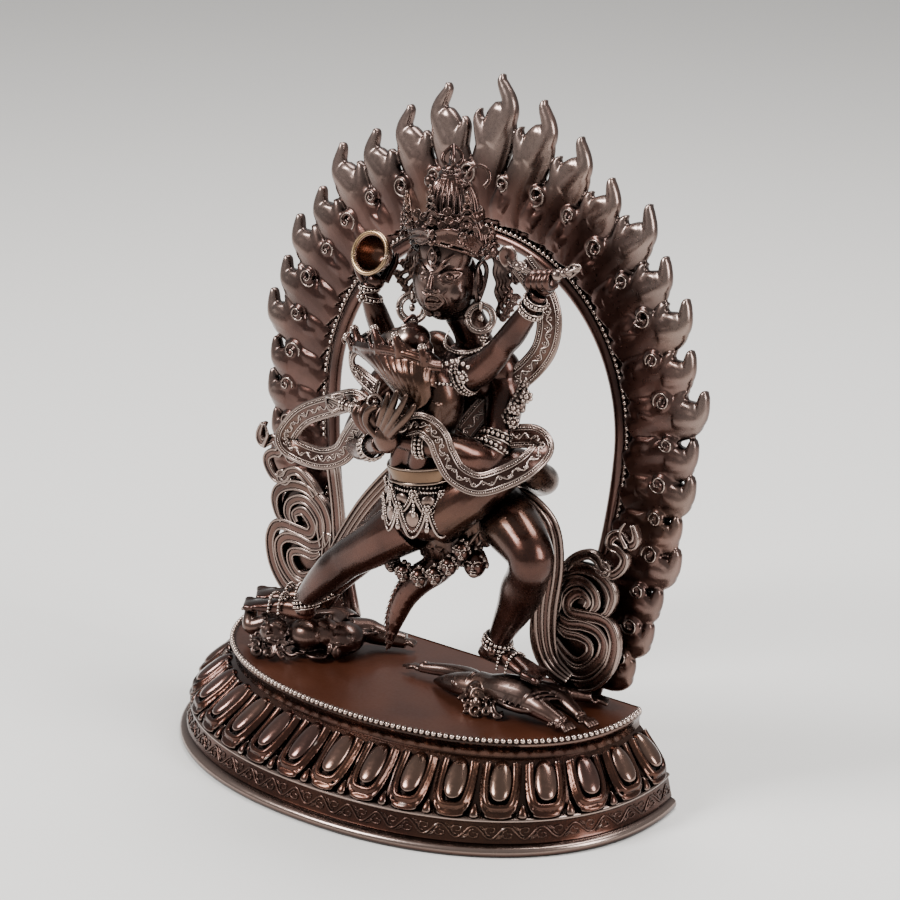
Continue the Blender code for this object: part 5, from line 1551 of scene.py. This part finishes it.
def makeHands():
    bm = bmesh.new()
    # her right fist round the knife's grip
    lump(bm, (58.6, -14.4, 130.8), (4.0, 3.0, 4.0), (0, 20, 0))
    for k in range(4):
        x = 55.4 + 2.1 * k
        finger(bm, (x, -12.6, 129.6 + 0.3 * k), (x + 0.1, -16.2, 129.2 + 0.3 * k), (x + 0.3, -18.2, 131.0 + 0.4 * k),
               (x + 0.4, -17.0, 133.4 + 0.4 * k), (x + 0.4, -14.2, 134.0 + 0.4 * k), thick=1.15)
    finger(bm, (55, -14, 128.6), (53.6, -16.0, 130.0), (54.6, -17.6, 131.8), (57, -18, 133.6), thick=1.2)
    # his right hand: fingers spread like a fan over the bell's grip
    lump(bm, (16.5, -37, 79.0), (4.6, 2.8, 4.4), (0, -30, 0))
    for k, (x, y, height) in enumerate(((28.6, -38, 92.6), (26.2, -39, 95.4), (22.6, -39, 96.0), (18.4, -38, 94.2))):
        base = Vector((19.4 - 1.5 * k, -38.4, 81.0 + 0.9 * k))
        tip = Vector((x, y, height))
        finger(bm, tuple(base), tuple(base.lerp(tip, 0.4) + Vector((0.8, -1.0, 0))), tuple(base.lerp(tip, 0.75) + Vector((0.8, -0.6, 0))),
               tuple(tip), thick=1.25)
    finger(bm, (13.5, -38, 80), (10.6, -39, 83.6), (11.4, -39.2, 87.4), (14.6, -39, 89.6), thick=1.35)
    # his left hand closes on the vajra
    lump(bm, (12.0, -34, 80.2), (4.8, 2.7, 3.4), (0, 12, 0))
    for k in range(4):
        x = 5.4 + 2.5 * k
        finger(bm, (x + 2, -35, 78.8), (x, -37, 81.6), (x - 0.8, -37.4, 85.2), (x - 0.6, -35.2, 87.6), (x, -33.0, 87.0), thick=1.2)
    # fingers of her left hand under the cup
    for k in range(4):
        x = -9.4 + 1.9 * k
        finger(bm, (x - 0.4, -12.4, 119.0), (x - 0.2, -10.4, 121.6), (x + 0.2, -8.6, 124.2), (x + 0.6, -8.2, 127.2), thick=1.05)
    finger(bm, (-11.2, -14.0, 117.6), (-12.6, -15.0, 120.6), (-13.0, -15.6, 123.6), (-12.4, -15.4, 126.2), thick=1.1)
    lump(bm, (-8.4, -12.6, 118.6), (3.4, 2.6, 2.8))
    piece = pieceFrom("hands", bm)
    melt(piece, 0.00026, 1, 32000)
    return piece


def vajra(bm, centre, along, length, radius):
    # a round grip between two closed cages of four prongs
    middle, along = Vector(centre), Vector(along).normalized()
    first = along.cross(Vector((0, 0, 1))).normalized()
    second = along.cross(first)
    lump(bm, centre, (radius * 0.9,) * 3, segments=14)
    for side in (-1, 1):
        for reach, size in ((0.16, 0.75), (0.26, 0.9)):
            cord(bm, ringRoute(tuple(middle + along * side * length * reach), along, radius * size, 16), radius * 0.28, steps=1)
        for k in range(4):
            turn = k * pi / 2 + pi / 4
            out = first * cos(turn) + second * sin(turn)
            prong = [tuple(middle + along * side * length * share + out * radius * reach)
                     for share, reach in ((0.26, 0.5), (0.42, 1.45), (0.62, 1.5), (0.82, 0.9), (0.96, 0.1))]
            cord(bm, prong, radius * 0.36, radius * 0.22, 4, 8)
        cord(bm, [tuple(middle + along * side * length * 0.26), tuple(middle + along * side * length * 1.04)], radius * 0.42,
             radius * 0.15, 3)


def makeAttributes():
    bm = bmesh.new()
    vajra(bm, (-0.6, -34.4, 85.2), (1, -0.05, -0.04), 9.6, 1.9)
    # the flaying knife: grip, collar knobs, crossed vajra end and curved blade
    cord(bm, [(45.6, -12.4, 134.2), (53, -14.6, 133.2), (61, -15.6, 133.4), (66, -16, 135.0), (72, -16.5, 138.0)], 1.0, 0.8)
    for x, y, height, radius in ((48.6, -13.4, 133.8, 1.7), (51.2, -14.2, 133.4, 1.2), (64.6, -15.9, 134.6, 1.8),
                                 (67.2, -16.1, 135.8, 1.3), (69.4, -16.3, 136.8, 1.7), (72, -16.5, 138.0, 1.3)):
        lump(bm, (x, y, height), (radius,) * 3, segments=14)
    for k in range(4):
        turn = k * pi / 2
        cord(bm, [(68.4, -16.2, 136.2), (70.0, -16.4 + 1.7 * cos(turn), 137.0 + 1.7 * sin(turn)),
                  (72.6, -16.5 + 0.9 * cos(turn), 138.4 + 0.9 * sin(turn)), (73.6, -16.6, 138.9)], 0.5, 0.35, 4, 8)
    blade = [(46.4, -12.6, 134.2), (43.6, -11.8, 136.4), (41.4, -11.4, 135.0), (42.0, -11.4, 132.0)]
    wide = [(*point, width, 0.5) for point, width in zip(smoothRoute(blade, 4), (1.0, 1.5, 2.0, 2.4, 2.6, 2.7, 2.6, 2.4, 2.1, 1.8, 1.4, 0.9, 0.4))]
    spindle(bm, onFigure(wide), (0.3, -1, 0.1), 12, 0.8)
    return pieceFrom("vajraAndKnife", bm)


def makeJewels():
    bm = bmesh.new()
    for centre, axis, radius, pearl, rows in (
        ((56.0, -15, 125.0), (0.5, 0, 0.86), 3.5, 0.62, 1), ((54.3, -15, 121.9), (0.55, 0, 0.83), 3.8, 0.62, 1),
        ((-9.5, -13.8, 116.6), (0.05, 0.1, 1), 3.1, 0.55, 1), ((-9.2, -13.6, 113.4), (0.2, 0.2, 1), 3.5, 0.6, 1),
        ((25.6, -31.2, 78.1), (0.93, 0.34, 0.03), 4.3, 0.62, 2), ((6.4, -32.2, 73.0), (0.75, -0.5, 0.42), 3.9, 0.66, 3),
        ((31.0, -16.8, 97.0), (0.85, 0.12, 0.45), 5.7, 0.60, 2), ((36.6, -11.5, 74.0), (0.02, -0.65, -0.75), 5.6, 0.8, 1),
        ((37.4, -9.4, 76.6), (0.05, -0.6, -0.8), 5.5, 0.8, 1), ((-7.4, -3.6, 86.4), (-0.65, -0.35, -0.65), 6.0, 0.62, 2),
        ((34.8, -5.4, 7.4), (0.3, 0.1, 0.95), 4.5, 0.72, 2), ((-33.4, -7.8, 8.0), (-0.45, -0.15, 0.88), 4.5, 0.68, 2),
        ((-31.6, -20.8, 8.4), (-0.3, 0.1, 0.95), 4.1, 0.62, 2), ((6.0, -15.0, 96.0), (1, -0.35, -0.1), 5.5, 0.55, 2),
        ((31.5, 12.6, 53.6), (0.95, -0.2, 0.15), 3.6, 0.55, 2),
    ):
        bangle(bm, centre, axis, radius, pearl, rows)
    # foot strings from the anklets over the insteps
    for heel, toe, width, low in (((29, -4.2, 0), (56, -7.5, 0), 4.6, 0.6), ((-34, -7.5, 1.2), (-61, -14.5, 1.6), 4.4, 1.6),
                                  ((-31, -20, 1.8), (-57.5, -24, 1.8), 3.8, 2.2)):
        heel, toe = Vector(heel), Vector(toe)
        across = Vector((heel.y - toe.y, toe.x - heel.x, 0)).normalized()
        for share, high in ((0.36, 6.0), (0.50, 5.2)):
            middle = heel.lerp(toe, share)
            arc = [tuple(middle + across * width * cos(pi * k / 10) + Vector((0, 0, low + high * sin(pi * k / 10)))) for k in range(11)]
            pearls(bm, arc, 0.55)
        rosette(bm, tuple(heel.lerp(toe, 0.36) + Vector((0, 0, 6.6))), (0.3, -0.5, 0.8), 1.5)
    # his necklaces: a fine one at the throat, longer pearls below
    for reachX, reachY, height, drop, pearl in ((8.0, 7.0, 103.4, 3.0, 0.55), (12.5, 9.4, 100.4, 6.5, 0.75)):
        row = []
        for angle in range(0, 181, 6):
            turn = radians(angle)
            row.append((20.5 + reachX * cos(turn), -2.0 - reachY * sin(turn), height - drop * sin(turn)))
        pearls(bm, row, pearl)
        cord(bm, [(x, y + 0.2, z + pearl * 1.3) for x, y, z in row], pearl * 0.4, steps=1, sides=6)
    for k in range(5):
        turn = radians(30 + 30 * k)
        rosette(bm, (20.5 + 12.5 * cos(turn), -2.4 - 9.6 * sin(turn), 99.4 - 6.5 * sin(turn)), (cos(turn), -sin(turn), 0.3), 1.3)
    # flower of her armband, and the clasp on her shoulder
    for place in ((43.6, -9.4, 87.6), (47.8, -8.4, 91.8), (43.7, -9.4, 83.0)):
        rosette(bm, place, toViewer, 2.1, 7)
    rosette(bm, (33.6, -21.6, 98.4), toViewer, 2.2, 7)
    rosette(bm, (-9.4, -17.4, 114.6), toViewer, 1.8, 6)
    # ring pendants beside her head
    for place in ((9.6, -34.0, 88.6), (20.4, -34.8, 84.2)):
        cord(bm, ringRoute(place, toViewer, 2.2, 20), 0.5, steps=1)
        lump(bm, place, (0.9, 0.9, 0.9), segments=10)
    # her necklace and the pearl row down her back's middle
    pearls(bm, [(23 + 7.6 * cos(radians(a)), -21.5 + 7.0 * sin(radians(a)), 95.5 - 1.5 * sin(radians(a))) for a in range(180, 361, 8)], 0.6)
    return pieceFrom("pearlJewellery", bm)


hands = makeHands()
# painted highlight on the sides of the hands that face the front
paint(hands, lambda place, normal: 0.03 * clampTo(-normal.y))
finishPiece(hands, figureCopper, copperSlot, "figure_pair")
finishPiece(makeAttributes(), jewelCopper, copperSlot, "figure_pair")
finishPiece(makeJewels(), pearlCopper, copperSlot, "figure_pair")


# skull cup

cupLook = {"mouth": (-6.5, -17.0, 129.0), "opening": (0.02, -0.92, 0.38), "radius": 6.4, "depth": 8.2, "wall": 1.0}


def makeCup():
    look = cupLook
    bm = bmesh.new()
    place = Matrix.Translation(onFigure([look["mouth"]])[0])
    place = place @ Vector((0, 0, 1)).rotation_difference(Vector(look["opening"]).normalized()).to_matrix().to_4x4()
    outer = [(look["radius"] * cos(radians(a)), -look["depth"] * sin(radians(a))) for a in range(90, -1, -6)]
    reach, deep = look["radius"] - look["wall"], look["depth"] - look["wall"]
    inner = [(reach * cos(radians(a)), -deep * sin(radians(a))) for a in range(0, 91, 6)]
    sides = 56
    rings = []
    for x, z in outer + [(look["radius"] - look["wall"] / 2, 0.35)] + inner:
        if x < 0.01:
            rings.append([bm.verts.new(place @ Vector((0, 0, z * unit)))])
        else:
            ring = [Vector((x * cos(2 * pi * k / sides), x * sin(2 * pi * k / sides), z)) * unit for k in range(sides)]
            rings.append([bm.verts.new(place @ point) for point in ring])
    for a, b in zip(rings, rings[1:]):
        for k in range(sides):
            corners = [a[k % len(a)], a[(k + 1) % len(a)], b[(k + 1) % len(b)], b[k % len(b)]]
            corners = list(dict.fromkeys(corners))
            bm.faces.new(corners)
    cup = pieceFrom("skullCup", bm)
    rim = bmesh.new()
    circle = [place @ Vector((look["radius"] * unit * cos(2 * pi * k / 48), look["radius"] * unit * sin(2 * pi * k / 48), 0)) for k in range(49)]
    spindle(rim, [(*point, 0.75 * unit, 0.75 * unit) for point in circle], None, 10)
    return cup, pieceFrom("skullCupRim", rim)


cup, cupRim = makeCup()
finishPiece(cup, copperFinish("cupCopper", deep=(0.12, 0.05, 0.03), open=(0.22, 0.11, 0.07)), "cup_metal", "skull_cup")
finishPiece(cupRim, brassRim, "cup_metal", "skull_cup")

# the two lying figures; heights are from the base's top

lyingLook = {"voxel": 0.00027, "keep": 36000}


def onBase(points):
    placed = []
    for point in points:
        x, y, height, *sizes = (value * unit for value in point)
        placed.append((x, y, topZ + seam + height, *sizes))
    return placed


def lowCord(bm, points, radius, endRadius=None, steps=4, sides=10):
    lifted = [(x, y, height + (topZ + seam - soleZ) / unit) for x, y, height in points]
    cord(bm, lifted, radius, endRadius, steps, sides)


def lowLump(bm, centre, radii, turn=(0, 0, 0), segments=20):
    ball(bm, onBase([centre])[0], [radius * unit for radius in radii], turn, segments)


def lowLimb(bm, *points, steps=5, sides=18):
    tube(bm, onBase(points), steps, sides)


def lowCurl(bm, centre, radius, turns, start=0.0, thick=0.75):
    x, y, height = centre
    flat = spiral((x, y, height + (topZ + seam - soleZ) / unit), (0.35, -0.6, 0.75), radius, turns, start)
    cord(bm, flat, thick, thick * 0.6, 1, 8)


def lowHand(bm, wrist, tip, spread, thick=0.75):
    wrist, tip = Vector(wrist), Vector(tip)
    across = (tip - wrist).cross(Vector((0, 0, 1))).normalized()
    lowLump(bm, tuple(wrist.lerp(tip, 0.3)), (thick * 2.2, thick * 2.2, thick * 1.3), segments=14)
    for k in range(4):
        side = (k - 1.5) / 1.5
        lowLimb(bm, (*wrist.lerp(tip, 0.3), thick), (*(wrist.lerp(tip, 0.65) + across * side * spread * 0.7 + Vector((0, 0, 0.5))), thick),
                (*(tip + across * side * spread), thick * 0.6), steps=3, sides=8)
    lowLimb(bm, (*wrist.lerp(tip, 0.2), thick), (*(wrist.lerp(tip, 0.45) + across * spread * 1.4), thick * 0.7), steps=2, sides=8)


def makeLeftLying():
    bm = bmesh.new()
    # head thrown back, with bulging features and a ring of curling hair
    lowLump(bm, (-46.6, -19.6, 6.0), (5.2, 5.0, 4.6), segments=28)
    lowLump(bm, (-44.9, -22.8, 5.0), (2.0, 2.2, 1.8))
    lowCord(bm, [(-47.4, -20.8, 9.6), (-46.2, -22.2, 8.6), (-44.9, -24.0, 7.2)], 0.9, 1.35)
    for side in (-1, 1):
        lowLump(bm, (-46.8 + 2.1 * side, -22.4 + 0.4 * side, 8.4), (1.1, 1.1, 0.9), segments=12)
        lowCord(bm, [(-47.0 + 0.7 * side, -21.6, 9.8), (-47.0 + 2.3 * side, -21.6, 10.4), (-47.0 + 4.2 * side, -20.4, 9.2)], 0.65, 0.35)
        lowCord(bm, [(-45 + 0.4 * side, -25.2, 5.4), (-45 + 2.2 * side, -24.4, 4.6), (-45 + 2.6 * side, -23.8, 3.2)], 0.6, 0.5)
    lowCord(bm, [(-47.2, -24.0, 3.0), (-44.9, -25.2, 2.4), (-42.6, -24.2, 3.2)], 0.7, 0.6)
    for k, (x, y, height, radius) in enumerate(((-51.5, -17.5, 9.4, 1.9), (-48.6, -15.8, 10.0, 1.9), (-45.6, -15.2, 9.6, 1.8), (-42.4, -16.4, 8.0, 2.2),
                                                (-40.4, -19.6, 5.8, 2.4), (-40.4, -23.6, 3.6, 2.4), (-43.4, -26.6, 2.2, 2.3), (-47.2, -27.2, 1.8, 2.3),
                                                (-50.4, -25.2, 2.2, 2.2), (-52.2, -22.0, 4.4, 2.0))):
        lowCurl(bm, (x, y, height), radius, 1.2 if k % 2 else -1.2, k * 0.7, 0.85)
    for k in range(5):
        turn = radians(-150 + 38 * k)
        lowCord(bm, [(-45.5 + 6.0 * cos(turn), -23.0 + 3.4 * sin(turn), 2.4), (-45.0 + 8.4 * cos(turn), -23.2 + 5.2 * sin(turn), 1.6),
                     (-44.0 + 9.4 * cos(turn), -22.6 + 6.4 * sin(turn), 2.6)], 1.0, 0.4)
    # bent arm on the left, its hand under the heel
    lowLimb(bm, (-42, -14.5, 7, 3.6), (-50, -13, 7.4, 3.2), (-57.6, -17.0, 4.6, 2.9), (-59.6, -17.4, 5.2, 2.7), (-62, -14.4, 8.0, 2.2), (-64, -12.8, 8.6, 2.4))
    lowHand(bm, (-62.6, -13.6, 8.6), (-60.4, -18.2, 10.0), 1.6)
    # chest, belly and hips
    lowLump(bm, (-37, -14.6, 6.2), (6.6, 5.8, 5.4), segments=28)
    lowLump(bm, (-32.8, -10.6, 6.2), (5.6, 5.2, 5.2), segments=28)
    lowLump(bm, (-27, -7, 5.2), (6.2, 6.6, 5.2), segments=28)
    lowLump(bm, (-34.6, -7.0, 10.2), (1.5, 1.5, 1.4), segments=12)
    lowCord(bm, [(-38.6, -18.6, 7.0), (-35.0, -16.6, 9.4), (-31.0, -13.4, 9.6)], 0.6)
    pearlRow = [(-38.4, -19.4, 5.4), (-34.2, -16.6, 7.0), (-30.4, -15.0, 5.6)]
    for place in smoothRoute(pearlRow, 5):
        lowLump(bm, place, (0.55, 0.55, 0.55), segments=8)
    # legs, skirt folds and feet
    lowLimb(bm, (-28, -3.4, 6, 4.8), (-25.4, 1.6, 5.6, 4.0), (-23.4, 3.2, 4.6, 3.8), (-19, 5.4, 3.4, 3.0), (-13.6, 7.6, 2.8, 2.4))
    lowHand(bm, (-15.4, 7.0, 2.8), (-10.6, 8.8, 1.9), 1.5, 0.9)
    lowLimb(bm, (-30.8, 0.4, 6.2, 4.2), (-38, 2.6, 6.6, 3.8), (-46, -1.0, 5.4, 2.9))
    for k in range(5):
        x = -30.6 + 1.7 * k
        lowCord(bm, [(x, -8.6 + 0.5 * k, 9.6 - 0.6 * k), (x + 2.8, -6.0 + k, 9.8 - 0.8 * k), (x + 3.0, -1.4 + k, 9.2 - 0.9 * k)], 0.75, 0.5)
    lowLimb(bm, (-26, -10, 4, 3.4), (-25.0, -12.0, 3.4, 2.9), (-24.0, -12.8, 3.0, 2.7), steps=4)
    for offset in (-1.35, 1.35):
        lowLump(bm, (-26.6 + offset, -13.4 - 0.2 * offset, 2.7), (1.7, 1.9, 2.3), (0, 0, 10), 16)
    # scarf loops on the base's top
    for centre, reach in (((-31.4, -16.2, 1.4), 3.9), ((-37.6, -17.4, 1.2), 2.6)):
        for size, thick in ((1.0, 0.62), (0.66, 0.55), (0.34, 0.5)):
            loop = [(centre[0] + reach * size * cos(radians(a)), centre[1] + reach * size * 0.85 * sin(radians(a)), centre[2] + 0.4 * (1 - size))
                    for a in range(-200, 21, 22)]
            lowCord(bm, loop, thick, steps=2)
        lowLump(bm, (centre[0], centre[1] + 1.0, 1.0), (reach, reach * 0.9, 1.1), segments=18)
    return pieceFrom("leftLying", bm)


def makeRightLying():
    bm = bmesh.new()
    # stretched arm with a pointing hand
    lowLimb(bm, (30, -7, 4.6, 3.0), (22, -3.6, 4.0, 2.7), (14, -3.4, 3.4, 2.3), (7, -4.6, 2.8, 1.9), (3.4, -5.2, 2.4, 1.6))
    lowHand(bm, (4.4, -5.0, 2.3), (-1.6, -5.4, 1.4), 1.3, 0.8)
    lowCord(bm, [(2.6, -5.4, 2.2), (-1.0, -6.0, 2.2), (-3.6, -6.0, 1.4)], 0.8, 0.45)
    lowCord(bm, [(4.0, -6.2, 3.0), (4.6, -4.6, 4.2), (4.8, -3.0, 3.2)], 0.7)
    # engraved cap that runs to a point
    spindle(bm, onBase(smoothRoute(((30.4, -9.4, 4.6, 4.6, 3.9), (26, -10.0, 4.4, 4.3, 3.6), (20.4, -9.8, 3.4, 3.4, 2.9), (15.4, -9.2, 2.2, 2.1, 1.8),
                                    (11.8, -8.6, 1.2, 0.6, 0.6)), 4)), (0, -0.4, 0.9), 20)
    for k, (x, y, height, reach) in enumerate(((24.6, -12.4, 6.0, 2.0), (19.4, -11.0, 5.0, 1.3))):
        lowCurl(bm, (x, y, height), reach, 1.1, k, 0.42)
        for step in range(7):
            turn = 2 * pi * step / 7
            lowLump(bm, (x + 0.9 * reach * cos(turn), y + 0.6 * reach * sin(turn), height + 0.5 * reach * sin(turn)), (0.45,) * 3, segments=8)
    lowCord(bm, [(28.6, -13.6, 2.2), (28.0, -12.6, 6.6), (28.4, -8.8, 8.4), (29.0, -5.4, 6.6)], 0.6)
    # head with hair curls below, then neck and trunk
    lowLump(bm, (32.6, -12.2, 4.2), (3.9, 3.6, 3.6), segments=26)
    lowCord(bm, [(32.8, -14.6, 6.4), (33.0, -16.0, 4.6), (33.2, -16.2, 3.8)], 0.6, 0.9)
    for side in (-1, 1):
        lowLump(bm, (32.8 + 1.5 * side, -15.0, 5.2), (0.7, 0.6, 0.6), segments=10)
        lowCord(bm, [(32.8 + 0.4 * side, -14.8, 6.4), (32.8 + 1.8 * side, -14.4, 6.8), (32.8 + 3.0 * side, -13.6, 6.0)], 0.42, 0.3)
    for k, (x, y, height, radius) in enumerate(((29.8, -15.4, 1.8, 1.9), (33.0, -18.2, 1.4, 2.0), (36.8, -18.4, 1.5, 2.4), (40.4, -17.6, 1.3, 1.9),
                                                (43.6, -16.6, 1.0, 1.6), (36.0, -14.8, 3.2, 2.0), (39.2, -14.4, 2.6, 1.8))):
        lowCurl(bm, (x, y, height), radius, 1.2 if k % 2 else -1.2, k, 0.8)
    for k in range(4):
        lowCord(bm, [(31 + 3 * k, -13.4, 3.2), (32.6 + 3 * k, -15.6, 3.4), (34.4 + 3 * k, -16.8, 2.0), (36 + 3 * k, -16.6, 1.2)], 0.85, 0.45)
    lowLimb(bm, (30, -8.6, 5, 4.2), (35, -9, 5.4, 4.4), (42, -9.4, 6.2, 5.6), (49, -8.6, 6.0, 5.8), (53, -8.2, 5.0, 4.6))
    # skirt folds over the hips
    for k in range(6):
        x = 45.4 + 1.9 * k
        lowCord(bm, [(x, -15.0 + 0.3 * k, 5.6 - 0.3 * k), (x + 1.6, -12.0, 10.2 - 0.5 * k), (x + 3.6, -6.0, 10.6 - 0.7 * k), (x + 3.2, -1.8, 7.2 - 0.6 * k)],
                0.72, 0.5)
    lowCord(bm, [(43.0, -15.0, 5.0), (47, -16.0, 4.8), (52, -15.2, 4.4), (57, -13.0, 4.6)], 0.7)
    # two legs with clawed feet, and an arm to the right
    lowLimb(bm, (51, -10, 5.4, 4.2), (57.4, -11.2, 4.8, 3.3), (62.6, -11.4, 3.4, 2.4), (64.6, -11.4, 2.8, 2.3))
    lowHand(bm, (63.4, -11.4, 2.8), (69.2, -12.4, 1.6), 2.0, 1.05)
    rim = [(63.2 + 2.6 * cos(radians(a)), -11.6 + 2.9 * sin(radians(a)), 2.6 + 1.3 * cos(radians(a))) for a in range(0, 361, 30)]
    for place in rim:
        lowLump(bm, place, (0.6, 0.6, 0.6), segments=8)
    lowLimb(bm, (51, -4.6, 5.6, 4.0), (57.0, -2.0, 4.8, 3.1), (63, -3.0, 3.4, 2.3), (67, -4.4, 2.6, 2.0))
    lowHand(bm, (66.0, -4.0, 2.4), (72.6, -5.0, 1.4), 1.8, 0.95)
    lowLimb(bm, (44, -4, 6.0, 3.6), (50.4, 1.2, 5.0, 2.8), (56, 5.6, 3.8, 2.2), (60.2, 9.6, 2.8, 1.9))
    lowHand(bm, (59.4, 9.0, 2.6), (65.6, 12.0, 1.4), 1.8, 0.9)
    for place in ((54, 1.4, 6.4), (56.6, 3.0, 5.8), (59.0, -0.6, 6.6)):
        lowLump(bm, place, (0.9, 0.9, 0.9), segments=10)
    return pieceFrom("rightLying", bm)


for lying, node in ((makeLeftLying(), "trampled_figure_left_of_base"), (makeRightLying(), "trampled_figure_right_of_base")):
    melt(lying, lyingLook["voxel"], 1, lyingLook["keep"])
    # flat under, and pressed flat by the sole above
    floorZ, roofZ = topZ + seam * 0.8, leftLyingHigh.z
    for vert in lying.data.vertices:
        vert.co.z = clampTo(vert.co.z, floorZ, roofZ)
    # painted highlight on the tops and front faces of the lying figures
    paint(lying, lambda place, normal: 0.12 * clampTo(normal.z * 0.5 - normal.y * 0.6))
    finishPiece(lying, wornCopper, "worn_copper", node)
